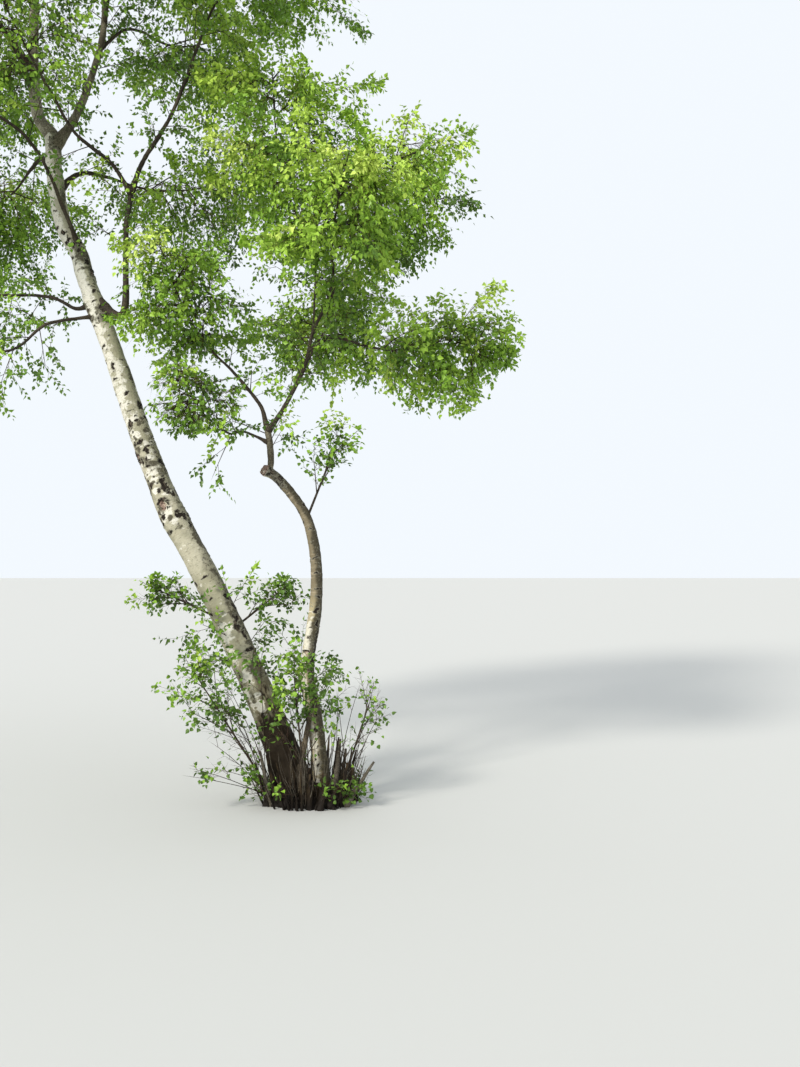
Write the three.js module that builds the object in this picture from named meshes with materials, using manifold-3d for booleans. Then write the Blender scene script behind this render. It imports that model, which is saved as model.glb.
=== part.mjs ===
// A birch with two stems from one root: a leaning main trunk, a thinner second stem beside it, a low dark
// stool of old shoots at the foot, boughs, and an airy crown in several masses of twigs and leaf sprays.
// Millimetres, +Z up, X to the right and Y away from the viewer. The origin is the middle of the main
// trunk's flat cut at ground level.
import * as THREE from "three";
import { mergeVertices } from "three/addons/utils/BufferGeometryUtils.js";
import Module from "manifold-3d";

const wasm = await Module();
wasm.setup();
const { Manifold } = wasm;

// The clearance at every seat, the least distance from a twig or spray to a limb of another kind, and the
// clearance between two masses of foliage as a share of their reach
const SEAT_GAP = 0.3;
const TWIG_CLEARANCE = 2;
const SPACE_MARGIN = 0.035;

// A twig or spray whose joint with its mass would leave an edge shorter than this isn't joined
const SHORTEST_EDGE = 0.02;

// The least height of a twig or spray above the ground
const LEAST_HEIGHT = 20;

// Bark and leaf colours, as red, green and blue from 0 to 1
const LOOKS = {
  bark: { color: [0.74, 0.7, 0.62], roughness: 0.8 },
  bough: { color: [0.24, 0.18, 0.14], roughness: 0.8 },
  stool: { color: [0.12, 0.085, 0.06], roughness: 0.9 },
  foliage: { color: [0.3, 0.5, 0.12], roughness: 0.55 },
};

// The two stems. "line" is the centreline, "foot" and "tip" are radii, and "flare" is how far the foot
// swells at the ground, as a share of its radius, dying away over "flareHeight".
const STEMS = [
  {
    name: "main_trunk",
    line: [
      [42, -3, -120],
      [-175, 15, 480],
      [-542, 82, 1270],
      [-817, 139, 1780],
      [-1012, 192, 2230],
      [-1200, 252, 2740],
      [-1396, 312, 3238],
      [-1456, 335, 3425],
      [-1557, 355, 3606],
      [-1624, 388, 3864],
      [-1665, 420, 4230],
    ],
    foot: 98,
    tip: 46,
    flare: 0.38,
    flareHeight: 170,
    lobes: 5,
    sides: 12,
    steps: 22,
    look: "bark",
  },
  {
    name: "second_stem",
    line: [
      [150, -30, -80],
      [103, -30, 455],
      [47, -10, 790],
      [95, 10, 1180],
      [93, 20, 1480],
      [28, 30, 1740],
      [-130, 40, 1950],
      [-237, 40, 2025],
    ],
    foot: 51,
    tip: 27,
    flare: 0.3,
    flareHeight: 120,
    lobes: 3,
    sides: 8,
    steps: 17,
    look: "bark",
  },
  {
    name: "small_snag",
    line: [
      [-20, -130, -60],
      [20, -110, 250],
      [62, -70, 500],
      [85, -25, 690],
    ],
    foot: 26,
    tip: 12,
    flare: 0.3,
    flareHeight: 80,
    lobes: 2,
    sides: 7,
    steps: 5,
    look: "bough",
  },
];

// Boughs with a course of their own. "on" and "at" are the limb they spring from and how far along it.
const BOUGHS = [
  {
    name: "left_leader",
    on: "main_trunk",
    at: 1,
    line: [
      [-1769, 440, 4400],
      [-1795, 460, 4815],
      [-1790, 480, 5350],
      [-1740, 500, 5950],
      [-1680, 510, 6550],
    ],
    foot: 38,
    tip: 12,
  },
  {
    name: "right_leader",
    on: "main_trunk",
    at: 0.977,
    line: [
      [-1508, 430, 4384],
      [-1352, 440, 4819],
      [-1310, 450, 5250],
      [-1180, 470, 5850],
    ],
    foot: 27,
    tip: 11,
  },
  {
    name: "right_bough",
    on: "main_trunk",
    at: 0.574,
    line: [
      [-1150, 225, 3010],
      [-1122, 200, 3305],
      [-1112, 170, 3560],
      [-1074, 150, 3785],
    ],
    foot: 24,
    tip: 15,
  },
  {
    name: "right_bough_left_arm",
    on: "right_bough",
    at: 0.97,
    line: [
      [-1196, 100, 3940],
      [-1389, 10, 4092],
      [-1500, -120, 4290],
    ],
    foot: 13,
    tip: 9,
  },
  {
    name: "right_bough_right_arm",
    on: "right_bough",
    at: 0.98,
    line: [
      [-993, 150, 3988],
      [-832, 160, 4256],
      [-714, 180, 4578],
      [-620, 220, 4880],
    ],
    foot: 15,
    tip: 9,
  },
  {
    name: "front_bough",
    on: "main_trunk",
    at: 0.7,
    line: [
      [-1467, 285, 3525],
      [-1515, 180, 3680],
      [-1555, 0, 3859],
      [-1660, -150, 4025],
      [-1840, -290, 4130],
    ],
    foot: 14,
    tip: 8,
  },
  {
    name: "low_arch_bough",
    on: "main_trunk",
    at: 0.552,
    line: [
      [-1420, 200, 2985],
      [-1600, 130, 2930],
      [-1772, 60, 2765],
      [-1990, 0, 2730],
    ],
    foot: 11,
    tip: 7,
  },
  {
    name: "high_arch_bough",
    on: "main_trunk",
    at: 0.569,
    line: [
      [-1467, 300, 3070],
      [-1644, 340, 3156],
      [-1963, 400, 3180],
      [-2200, 470, 3230],
    ],
    foot: 12,
    tip: 7,
  },
  {
    name: "second_leader",
    on: "second_stem",
    at: 0.93,
    line: [
      [-185, 45, 2107],
      [-212, 50, 2290],
    ],
    foot: 25,
    tip: 18,
  },
  {
    name: "second_right_bough",
    on: "second_leader",
    at: 0.9,
    line: [
      [-111, 45, 2390],
      [16, 30, 2636],
      [75, 20, 2850],
      [165, 20, 3040],
      [282, 10, 3235],
    ],
    foot: 15,
    tip: 8,
  },
  {
    name: "second_left_bough",
    on: "second_leader",
    at: 1,
    line: [
      [-253, 50, 2420],
      [-365, 40, 2562],
      [-540, 20, 2740],
    ],
    foot: 13,
    tip: 7,
  },
  {
    name: "second_low_left_bough",
    on: "second_leader",
    at: 0.72,
    line: [
      [-337, -20, 2243],
      [-416, -90, 2225],
      [-500, -170, 2280],
    ],
    foot: 9,
    tip: 5,
  },
];

// The rule that every mass grows by. "stemShare" is how far across the space its stem runs. Its twigs
// leave the stem from "firstTwig" on, over "twigSpan" of its length, and "roundJitter" turns each a little
// off the golden angle. Their angle to the stem is "openFoot" of the mass's spread at the stem's foot and
// "openTip" less of it at the tip, and they run to within a spray's length of the space's edge, at least
// "leastTwig" of the way.
const RULE = {
  stemShare: 0.82,
  stemTaper: 0.45,
  twigTaper: 0.4,
  firstTwig: 0.12,
  twigSpan: 0.82,
  roundJitter: 0.5,
  openFoot: 1.15,
  openTip: 0.45,
  leastTwig: 0.3,
  twigScale: [0.85, 0.25],
};

// Sprays sit "sideAngle" off their twig's heading, or "tipAngle" at its end, with their foot sunk in at
// "tipSeat". "scale" and "tilt" are the least and the spread of their size and of their turn from level,
// "widest" is where along them they are widest, and "tries" are the shares of full length at which one is
// tried.
const SPRAY = {
  sideAngle: 0.85,
  tipAngle: 0.15,
  tipSeat: 0.985,
  twigShare: 0.6,
  roundJitter: 0.6,
  scale: [0.85, 0.3],
  tilt: [0.3, 1.2],
  widest: 0.42,
  tries: [1, 0.88, 0.74, 0.5],
};

// How a mass grows: side twigs on its stem, sprays on each twig, a spray's length as a share of the mass's
// mean reach and its width as a share of that, the angle between stem and twig in degrees, and as shares
// of length the twigs' sag and the sprays' droop
const CROWN = {
  twigs: 5,
  sprays: 2,
  length: 0.7,
  width: 0.78,
  thick: 6,
  stemFoot: 8,
  twigFoot: 6,
  spread: 66,
  sag: 0.1,
  droop: 0.35,
};
const FOOT = {
  twigs: 4,
  sprays: 1,
  length: 0.6,
  width: 0.6,
  thick: 4,
  stemFoot: 8,
  twigFoot: 4.5,
  spread: 34,
  sag: 0.04,
  droop: 0,
};

// The masses of foliage: "centre" and "reach" are the space that each keeps to, and "on" is the limb it
// grows on. These grow on from the tip of their limb.
const TIP_MASSES = {
  top: { on: "left_leader", centre: [-1640, 520, 7330], reach: [710, 710, 920] },
  upper_right: { on: "right_leader", centre: [-880, 500, 6560], reach: [780, 760, 850] },
  right: { on: "right_bough_right_arm", centre: [-240, 320, 5330], reach: [800, 780, 760] },
  inner_front: { on: "right_bough_left_arm", centre: [-1650, -350, 4640], reach: [560, 520, 540] },
  front_left: { on: "front_bough", centre: [-2250, -450, 4270], reach: [690, 640, 600] },
  low_arch: { on: "low_arch_bough", centre: [-2440, -80, 2790], reach: [740, 640, 530] },
  high_arch: { on: "high_arch_bough", centre: [-2680, 600, 3400], reach: [740, 690, 580] },
  second_right: { on: "second_right_bough", centre: [480, 0, 3720], reach: [710, 690, 710] },
  second_left: { on: "second_left_bough", centre: [-700, -40, 3080], reach: [520, 560, 540] },
  second_low_left: { on: "second_low_left_bough", centre: [-580, -260, 2430], reach: [330, 400, 280] },
};

// These have a bough of their own, worked out from their place, that leaves its limb at "at" along it.
const SIDE_MASSES = {
  upper_left: { on: "left_leader", at: 0.66, centre: [-2370, 350, 6480], reach: [830, 780, 800] },
  upper_back: { on: "left_leader", at: 0.58, centre: [-1620, 1230, 6350], reach: [800, 760, 800] },
  upper_front: { on: "left_leader", at: 0.52, centre: [-1620, -350, 6280], reach: [800, 740, 830] },
  left: { on: "left_leader", at: 0.34, centre: [-3000, 350, 5430], reach: [830, 800, 760] },
  left_back: { on: "left_leader", at: 0.24, centre: [-2450, 1290, 5150], reach: [830, 800, 760] },
  left_front: { on: "left_leader", at: 0.28, centre: [-2450, -560, 5330], reach: [830, 760, 760] },
  right_back: { on: "right_leader", at: 0.5, centre: [-850, 1290, 5330], reach: [800, 780, 760] },
  right_front: { on: "right_leader", at: 0.6, centre: [-880, -460, 5420], reach: [780, 710, 760] },
  low_back_left: { on: "main_trunk", at: 0.944, centre: [-2330, 1150, 4080], reach: [760, 740, 640] },
  low_back_right: { on: "main_trunk", at: 0.898, centre: [-880, 1080, 4170], reach: [760, 740, 670] },
  second_top: { on: "second_right_bough", at: 0.6, centre: [-120, 130, 4130], reach: [740, 710, 740] },
  second_low_right: { on: "second_right_bough", at: 0.5, centre: [800, 60, 2830], reach: [620, 600, 510] },
  second_back: { on: "second_right_bough", at: 0.35, centre: [150, 760, 3150], reach: [690, 620, 640] },
  second_front: { on: "second_right_bough", at: 0.75, centre: [280, -620, 3430], reach: [620, 550, 600] },
};

// These are young leafy shoots, which rise from a point inside the stool or from the middle of a stem.
const SHOOTS = {
  foot_left: { from: [-150, -60, 40], centre: [-450, -190, 560], reach: [420, 330, 520] },
  foot_middle: { from: [50, -150, 40], centre: [10, -270, 600], reach: [270, 230, 420] },
  foot_right: { from: [240, 10, 40], centre: [370, -100, 440], reach: [230, 270, 400] },
  trunk_left: { on: "main_trunk", at: 0.174, centre: [-740, -110, 1240], reach: [290, 270, 170] },
  trunk_right: { on: "main_trunk", at: 0.168, centre: [-200, 210, 1220], reach: [270, 260, 170] },
  second_shoot: { on: "second_stem", at: 0.7, centre: [190, -40, 2080], reach: [290, 260, 300] },
};

// Boughs that are worked out from the mass they carry: radii, the most that the foot may be of its limb's
// radius, how far from the mass's centre they end as a share of its reach, and how far they leave along
// their limb
const SPROUT = { foot: 19, tip: 8, limbShare: 0.55, entry: 0.68, lift: 0.16 };

// The sides and steps of thick and thin boughs, from the foot radius "thick" on. A bough's collar swells
// its foot by a share that dies away over "collarReach" times its radius, and "lobe" is how deep a flare's
// lobes are.
const LIMB = {
  thick: 20,
  thickFaces: { sides: 7, steps: 6 },
  thinFaces: { sides: 5, steps: 4 },
  collar: 0.25,
  collarReach: 4,
  lobe: 0.45,
};

// The stool: a low mound with dead stubs standing out of it, and old shoot bases all round, each a share of
// the way to the mound's edge and leaning outward by a share of its height
const STOOL = {
  centre: [60, -20],
  reach: [280, 225],
  height: 150,
  ripple: 0.13,
  lobes: 5,
  rings: 3,
  sides: 15,
};
const STUBS = [
  { foot: [215, -60], lean: [35, -20], height: 390, radius: 20 },
  { foot: [265, -130], lean: [190, -30], height: 270, radius: 21 },
  { foot: [235, 60], lean: [40, 50], height: 300, radius: 15 },
  { foot: [-150, -125], lean: [-70, -25], height: 330, radius: 14 },
  { foot: [-60, 135], lean: [-30, 60], height: 260, radius: 16 },
];

const BASES = {
  count: 13,
  seed: 7000,
  share: [0.45, 0.4],
  height: [200, 190],
  radius: [12, 8],
  lean: [0.1, 0.25],
};

const GOLDEN_ANGLE = Math.PI * (3 - Math.sqrt(5));
const FULL_TURN = 2 * Math.PI;
const TWO_TO_32 = 2 ** 32;
const STREAM_WARM_UP = 4;
const UP = new THREE.Vector3(0, 0, 1);

const vector = (xyz) => new THREE.Vector3(...xyz);

const kinds = [
  { table: TIP_MASSES, kind: "tip", growth: CROWN },
  { table: SIDE_MASSES, kind: "side", growth: CROWN },
  { table: SHOOTS, kind: "shoot", growth: FOOT },
];
const masses = kinds.flatMap(({ table, kind, growth }) =>
  Object.entries(table).map(([name, mass]) => ({ name, kind, growth, ...mass })),
);

// A stream of random numbers from 0 to 1, the same on every run
function stream(seed) {
  let state = seed % TWO_TO_32;
  const next = () => {
    state = (state * 1664525 + 1013904223) % TWO_TO_32;
    return state / TWO_TO_32;
  };
  for (let i = 0; i < STREAM_WARM_UP; i++) next();
  return next;
}

// A three.js geometry as a solid, and a solid as a three.js geometry
function solidOf(geometry) {
  const bare = geometry.clone();
  bare.deleteAttribute("normal");
  bare.deleteAttribute("uv");
  const merged = mergeVertices(bare, 1e-4);
  return new Manifold(
    new wasm.Mesh({
      numProp: 3,
      vertProperties: new Float32Array(merged.attributes.position.array),
      triVerts: new Uint32Array(merged.index.array),
    }),
  );
}

function geometryOf(solid) {
  const mesh = solid.getMesh();
  const geometry = new THREE.BufferGeometry();
  geometry.setAttribute("position", new THREE.BufferAttribute(new Float32Array(mesh.vertProperties), 3));
  geometry.setIndex(new THREE.BufferAttribute(new Uint32Array(mesh.triVerts), 1));
  const flat = geometry.toNonIndexed();
  flat.computeVertexNormals();
  return flat;
}

// The largest single body of a solid: a scrap that a cut leaves loose is dropped
function mainBody(solid) {
  const bodies = solid.decompose();
  return bodies.reduce((a, b) => (b.volume() > a.volume() ? b : a));
}

// A cylinder bent along a curve: its height runs from 0 to 1 along the curve, and radiusAt(t, point,
// outward) gives each vertex its distance from the centreline. Its ends can run on past the curve's.
function bentCylinder(curve, radiusAt, sides, steps, overrun = 0) {
  const geometry = new THREE.CylinderGeometry(1, 1, 1, sides, steps).translate(0, 0.5, 0);
  const frames = curve.computeFrenetFrames(steps, false);
  const centres = Array.from({ length: steps + 1 }, (_, i) => curve.getPointAt(i / steps));
  centres[0].addScaledVector(curve.getTangent(0), -overrun);
  centres[steps].addScaledVector(curve.getTangent(1), overrun);
  const position = geometry.attributes.position;
  for (let i = 0; i < position.count; i++) {
    const t = position.getY(i);
    const k = Math.round(t * steps);
    const outward = new THREE.Vector3()
      .addScaledVector(frames.normals[k], position.getX(i))
      .addScaledVector(frames.binormals[k], -position.getZ(i));
    const share = outward.length();
    if (share > 0) outward.multiplyScalar(radiusAt(t, centres[k], outward) / share);
    outward.multiplyScalar(share).add(centres[k]);
    position.setXYZ(i, outward.x, outward.y, outward.z);
  }
  return geometry;
}

// A limb's radius: an even taper, a collar or root flare at its foot, and lobes in a root flare
function limbRadius(limb, extra) {
  const collarLength = LIMB.collarReach * limb.foot;
  return (t, centre, outward) => {
    const taper = limb.foot + (limb.tip - limb.foot) * t;
    if (!limb.flare) return taper * (1 + limb.collar * Math.exp((-t * limb.length) / collarLength)) + extra;
    const nearGround = limb.flare * Math.exp(-Math.max(centre.z, 0) / limb.flareHeight);
    const lobe = 1 + LIMB.lobe * Math.cos(limb.lobes * Math.atan2(outward.y, outward.x));
    return taper * (1 + nearGround * lobe) + extra;
  };
}

function limbSolid(limb, extra = 0) {
  return solidOf(bentCylinder(limb.curve, limbRadius(limb, extra), limb.sides, limb.steps, extra));
}

// A block below the ground, which every foot is cut by
const ground = solidOf(new THREE.BoxGeometry(4000, 4000, 1000).translate(0, 0, -500));

const limbs = new Map();

function addLimb(limb) {
  limb.curve = new THREE.CatmullRomCurve3(limb.line.map(vector), false, "catmullrom", 0.5);
  limb.length = limb.curve.getLength();
  limb.solid = limbSolid(limb);
  limb.swollen = limbSolid(limb, SEAT_GAP);
  limbs.set(limb.name, limb);
  return limb;
}

// A bough starts on its limb's centreline, and the limb, a little swollen, is cut out of it. One that
// springs from the limb's side has a collar.
function addBough(bough) {
  const parent = limbs.get(bough.on);
  const start = parent.curve.getPoint(bough.at);
  const limb = addLimb({
    look: "bough",
    collar: bough.at === 1 ? 0 : LIMB.collar,
    ...(bough.foot > LIMB.thick ? LIMB.thickFaces : LIMB.thinFaces),
    ...bough,
    line: [start.toArray(), ...bough.line],
  });
  limb.solid = mainBody(limb.solid.subtract(parent.swollen));
  return limb;
}

// A bough from a limb to the near side of a mass's space: it leaves along the limb and bends out to the
// mass
function sproutFor(mass) {
  const parent = limbs.get(mass.on);
  const start = parent.curve.getPoint(mass.at);
  const centre = vector(mass.centre);
  const towardsLimb = start.clone().sub(centre);
  const shares = towardsLimb.clone().divide(vector(mass.reach)).length();
  const entry = centre.clone().addScaledVector(towardsLimb, SPROUT.entry / shares);
  const span = entry.distanceTo(start);
  const lift = parent.curve.getTangent(mass.at).multiplyScalar(SPROUT.lift * span);
  const line = [1 / 3, 2 / 3].map((s) => start.clone().lerp(entry, s).addScaledVector(lift, 1.5 - s));
  return {
    name: mass.name + "_bough",
    on: mass.on,
    at: mass.at,
    line: [...line.map((p) => p.toArray()), entry.toArray()],
    foot: Math.min(SPROUT.foot, SPROUT.limbShare * (parent.foot + (parent.tip - parent.foot) * mass.at)),
    tip: SPROUT.tip,
  };
}

// How far a point is from a mass's centre, as a share of the mass's reach
function shareOfReach(point, mass) {
  return Math.hypot(...point.toArray().map((v, i) => (v - mass.centre[i]) / mass.reach[i]));
}

// A point keeps to a mass's space if it is within reach and clearly nearer to it than to any other mass
function keepsTo(point, mass) {
  const own = shareOfReach(point, mass);
  if (own > 1 || point.z < LEAST_HEIGHT) return false;
  return masses.every((other) => other === mass || own < shareOfReach(point, other) - SPACE_MARGIN);
}

// How far a ray from a point runs before it leaves a mass's reach
function roomAlong(point, direction, mass) {
  const reach = vector(mass.reach);
  const p = point.clone().sub(vector(mass.centre)).divide(reach);
  const d = direction.clone().divide(reach);
  const a = d.lengthSq();
  const b = p.dot(d);
  const c = p.lengthSq() - 1;
  return (-b + Math.sqrt(Math.max(b * b - a * c, 0))) / a;
}

// A direction at an angle to a heading, turned round it by a second angle
function turnedFrom(heading, angle, round) {
  const side = heading.clone().cross(UP);
  if (side.length() < 0.05) side.set(1, 0, 0);
  side.normalize();
  const over = side.clone().cross(heading).normalize();
  return heading
    .clone()
    .multiplyScalar(Math.cos(angle))
    .addScaledVector(side, Math.sin(angle) * Math.cos(round))
    .addScaledVector(over, Math.sin(angle) * Math.sin(round))
    .normalize();
}

// A twig's course: straight, with its tip a little below where its direction at the stem points
function twigCurve(foot, direction, length, sag) {
  const tip = foot.clone().addScaledVector(direction, length).addScaledVector(UP, -sag * length);
  return new THREE.LineCurve3(foot, tip);
}

// The stem of a mass: it runs on from its bough's tip towards the mass's centre, or a shoot's from its root
function stemOf(mass) {
  const centre = vector(mass.centre);
  if (mass.kind === "shoot") {
    const start = mass.from ? vector(mass.from) : limbs.get(mass.on).curve.getPoint(mass.at);
    const heading = centre.clone().sub(start).normalize();
    const end = start.clone().addScaledVector(heading, RULE.stemShare * roomAlong(start, heading, mass));
    return new THREE.QuadraticBezierCurve3(start, centre, end);
  }
  const bough = limbs.get(mass.kind === "tip" ? mass.on : mass.name + "_bough").curve;
  const start = bough.getPoint(1).addScaledVector(bough.getTangent(1), SEAT_GAP);
  const heading = centre.clone().sub(start).normalize();
  const across = RULE.stemShare * roomAlong(start, heading, mass);
  const bend = start.clone().addScaledVector(bough.getTangent(1), across / 3);
  return new THREE.QuadraticBezierCurve3(start, bend, start.clone().addScaledVector(heading, across));
}

// A spray of leaves as one thin blade in a leaf's outline: pointed at its foot and tip, and widest at its
// middle, which has a corner at each side and one on its ridge
function sprayGeometry(foot, tip, middle, side, ridge) {
  const corners = [side, ridge, side.clone().negate()].map((outward) => middle.clone().add(outward));
  const geometry = new THREE.BufferGeometry().setFromPoints([foot, tip, ...corners]);
  const faces = corners.flatMap((_, i) => {
    const here = 2 + i;
    const next = 2 + ((i + 1) % corners.length);
    return [0, here, next, 1, next, here];
  });
  return geometry.setIndex(faces);
}

// Does a solid come closer than the clearance to any limb, or to another mass's stem?
function touchesLimb(solid, ownStem) {
  const box = solid.boundingBox();
  const apart = ({ low, high }) =>
    low.some((_, k) => box.min[k] > high[k] + TWIG_CLEARANCE || box.max[k] < low[k] - TWIG_CLEARANCE);
  const near = obstacles.filter((obstacle) => obstacle.body !== ownStem && !apart(obstacle));
  return near.some(({ body }) => solid.minGap(body, 2 * TWIG_CLEARANCE) < TWIG_CLEARANCE);
}

// The length of a solid's shortest edge
function shortestEdge(solid) {
  const { vertProperties, triVerts } = solid.getMesh();
  const corner = (i) => new THREE.Vector3().fromArray(vertProperties, 3 * triVerts[i]);
  let shortest = Infinity;
  for (let i = 0; i < triVerts.length; i += 3) {
    const [a, b, c] = [corner(i), corner(i + 1), corner(i + 2)];
    shortest = Math.min(shortest, a.distanceTo(b), b.distanceTo(c), c.distanceTo(a));
  }
  return shortest;
}

// Joins a solid to its mass's body if it touches no limb and the joint is sound, and says whether it did
function joinTo(mass, solid) {
  if (touchesLimb(solid, mass.stemSolid)) return false;
  const joined = mass.body.add(solid);
  if (joined.decompose().length > 1 || shortestEdge(joined) < SHORTEST_EDGE) return false;
  mass.body = joined;
  return true;
}

// A random number between a least value and that plus a spread
const between = ([least, spread], random) => least + spread * random();

// One spray on a twig, at a share of its length and turned round it, or none if it fits at no size
function growSpray(mass, twig, at, round, random) {
  const { growth } = mass;
  const direction = turnedFrom(twig.getTangent(at), at === 1 ? SPRAY.tipAngle : SPRAY.sideAngle, round);
  direction.addScaledVector(UP, -growth.droop).normalize();
  const tilt = turnedFrom(UP, between(SPRAY.tilt, random), FULL_TURN * random());
  const across = direction.clone().cross(tilt).normalize();
  const fullLength = mass.sprayLength * between(SPRAY.scale, random);
  const foot = twig.getPoint(Math.min(at, SPRAY.tipSeat));
  for (const share of SPRAY.tries) {
    const length = share * fullLength;
    const tip = foot.clone().addScaledVector(direction, length);
    const middle = foot.clone().lerp(tip, SPRAY.widest);
    const side = across.clone().multiplyScalar((growth.width * length) / 2);
    const ridge = across.clone().cross(direction).multiplyScalar(growth.thick);
    const outline = [tip, middle.clone().add(side), middle.clone().sub(side)];
    if (!outline.every((p) => keepsTo(p, mass))) continue;
    if (joinTo(mass, solidOf(sprayGeometry(foot, tip, middle, side, ridge)))) return;
  }
}

// One mass: a stem, twigs round it by the golden angle, and sprays along each twig and at its tip
function growMass(mass, seed) {
  const { growth, stem } = mass;
  mass.body = mass.stemSolid;
  for (let i = 0; i < growth.twigs; i++) {
    const random = stream(seed * 1000 + i);
    const at = RULE.firstTwig + (RULE.twigSpan * (i + 0.5)) / growth.twigs;
    const round = i * GOLDEN_ANGLE + RULE.roundJitter * random();
    const angle = THREE.MathUtils.degToRad(growth.spread) * (RULE.openFoot - RULE.openTip * at);
    const direction = turnedFrom(stem.getTangent(at), angle, round);
    const foot = stem.getPoint(at);
    const room = roomAlong(foot, direction, mass);
    const length = Math.max(RULE.leastTwig * room, room - mass.sprayLength) * between(RULE.twigScale, random);
    const twig = twigCurve(foot, direction, length, growth.sag);
    const solid = solidOf(bentCylinder(twig, (t) => growth.twigFoot * (1 - RULE.twigTaper * t), 3, 1));
    const inside = [0.35, 0.7, 1].every((t) => keepsTo(twig.getPoint(t), mass));
    if (!inside || !joinTo(mass, solid)) continue;
    for (let j = 1; j <= growth.sprays; j++) {
      const place = j / (growth.sprays + SPRAY.twigShare);
      const turn = (j + i) * Math.PI + SPRAY.roundJitter * random();
      growSpray(mass, twig, place, turn, random);
    }
    growSpray(mass, twig, 1, FULL_TURN * random(), random);
  }
  growSpray(mass, stem, 1, 0, stream(seed * 1000 + growth.twigs));
  return mass.body;
}

// The shoot bases of the stool, in the same terms as its stubs
function shootBases() {
  return Array.from({ length: BASES.count }, (_, i) => {
    const random = stream(BASES.seed + i);
    const share = between(BASES.share, random);
    const height = between(BASES.height, random);
    const radius = between(BASES.radius, random);
    const lean = height * between(BASES.lean, random);
    const outward = [Math.cos(i * GOLDEN_ANGLE), Math.sin(i * GOLDEN_ANGLE)];
    const foot = outward.map((v, k) => STOOL.centre[k] + share * STOOL.reach[k] * v);
    return { foot, lean: outward.map((v) => v * lean), height, radius };
  });
}

// The stool: half a flattened sphere with a rippled outline, joined with its stubs and shoot bases. It can
// be made a little larger, for what stands on it to be cut clear by.
function stoolSolid(extra = 0) {
  const geometry = new THREE.SphereGeometry(1, STOOL.sides, STOOL.rings * 2).rotateX(Math.PI / 2);
  const position = geometry.attributes.position;
  for (let i = 0; i < position.count; i++) {
    const x = position.getX(i);
    const y = position.getY(i);
    const ripple = 1 + STOOL.ripple * Math.cos(STOOL.lobes * Math.atan2(y, x)) * Math.hypot(x, y);
    position.setXYZ(
      i,
      STOOL.centre[0] + (STOOL.reach[0] + extra) * x * ripple,
      STOOL.centre[1] + (STOOL.reach[1] + extra) * y * ripple,
      (STOOL.height + extra) * position.getZ(i),
    );
  }
  const stubs = [...STUBS, ...shootBases()].map(({ foot, lean, height, radius }) => {
    const top = new THREE.Vector3(foot[0] + lean[0], foot[1] + lean[1], height);
    const curve = new THREE.LineCurve3(new THREE.Vector3(foot[0], foot[1], -40), top);
    return solidOf(bentCylinder(curve, (t) => radius * (1.3 - 0.6 * t) + extra, 5, 1));
  });
  return Manifold.union([solidOf(geometry), ...stubs]).subtract(ground);
}

// The stems, cut off flat at the ground. The second stem and the snag are cut clear of the trunk's flare,
// and the stool is cut clear of all three.
STEMS.forEach(addLimb);
const trunk = limbs.get("main_trunk");
for (const stem of STEMS) {
  stem.solid = stem.solid.subtract(ground);
}
const secondStem = limbs.get("second_stem");
const snag = limbs.get("small_snag");
secondStem.solid = mainBody(secondStem.solid.subtract(trunk.swollen));
snag.solid = mainBody(snag.solid.subtract(trunk.swollen).subtract(secondStem.swollen));
const swollenStool = stoolSolid(SEAT_GAP);
let stool = stoolSolid();
for (const stem of STEMS) stool = stool.subtract(stem.swollen);
stool = mainBody(stool);

BOUGHS.forEach(addBough);
for (const mass of masses) {
  if (mass.kind === "side") addBough(sproutFor(mass));
}

// Limbs that leave a shared foot close together are cut clear of each other, the later one by the earlier
// one
const limbList = [...limbs.values()];
limbList.forEach((limb, i) => {
  for (const earlier of limbList.slice(0, i)) {
    const shared = limb.solid.intersect(earlier.swollen);
    if (shared.volume() > 0) limb.solid = mainBody(limb.solid.subtract(earlier.swollen));
  }
});

// Everything that foliage has to stay clear of
const obstacles = [];
function addObstacle(body) {
  const box = body.boundingBox();
  obstacles.push({ body, low: box.min, high: box.max });
}
limbList.forEach((limb) => addObstacle(limb.solid));
addObstacle(stool);
for (const mass of masses) {
  mass.stem = stemOf(mass);
  mass.sprayLength = (mass.growth.length * mass.reach.reduce((a, b) => a + b)) / mass.reach.length;
  const radius = (t) => mass.growth.stemFoot * (1 - RULE.stemTaper * t);
  let solid = solidOf(bentCylinder(mass.stem, radius, 3, 4));
  if (mass.kind === "shoot") solid = solid.subtract(mass.from ? swollenStool : limbs.get(mass.on).swollen);
  mass.stemSolid = mainBody(solid);
  addObstacle(mass.stemSolid);
}

// The scene graph: one named mesh for each sub-part
const birch = new THREE.Group();
function addMesh(name, solid, look) {
  const { color, roughness } = LOOKS[look];
  const material = new THREE.MeshStandardMaterial({
    color: new THREE.Color(...color),
    roughness,
    metalness: 0,
  });
  const mesh = new THREE.Mesh(geometryOf(solid), material);
  mesh.name = name;
  birch.add(mesh);
}

addMesh("root_stool", stool, "stool");
for (const limb of limbList) addMesh(limb.name, limb.solid, limb.look);
masses.forEach((mass, i) => addMesh(mass.name + "_foliage", growMass(mass, i + 1), "foliage"));

export default birch;
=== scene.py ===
"""The looks of a birch with two stems from one root: white bark with dark marks, a dark stool of old shoots,
brown boughs, and a crown of fine twigs and spring leaves that grows by the same rule as the solids.
"""

import math

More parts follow.
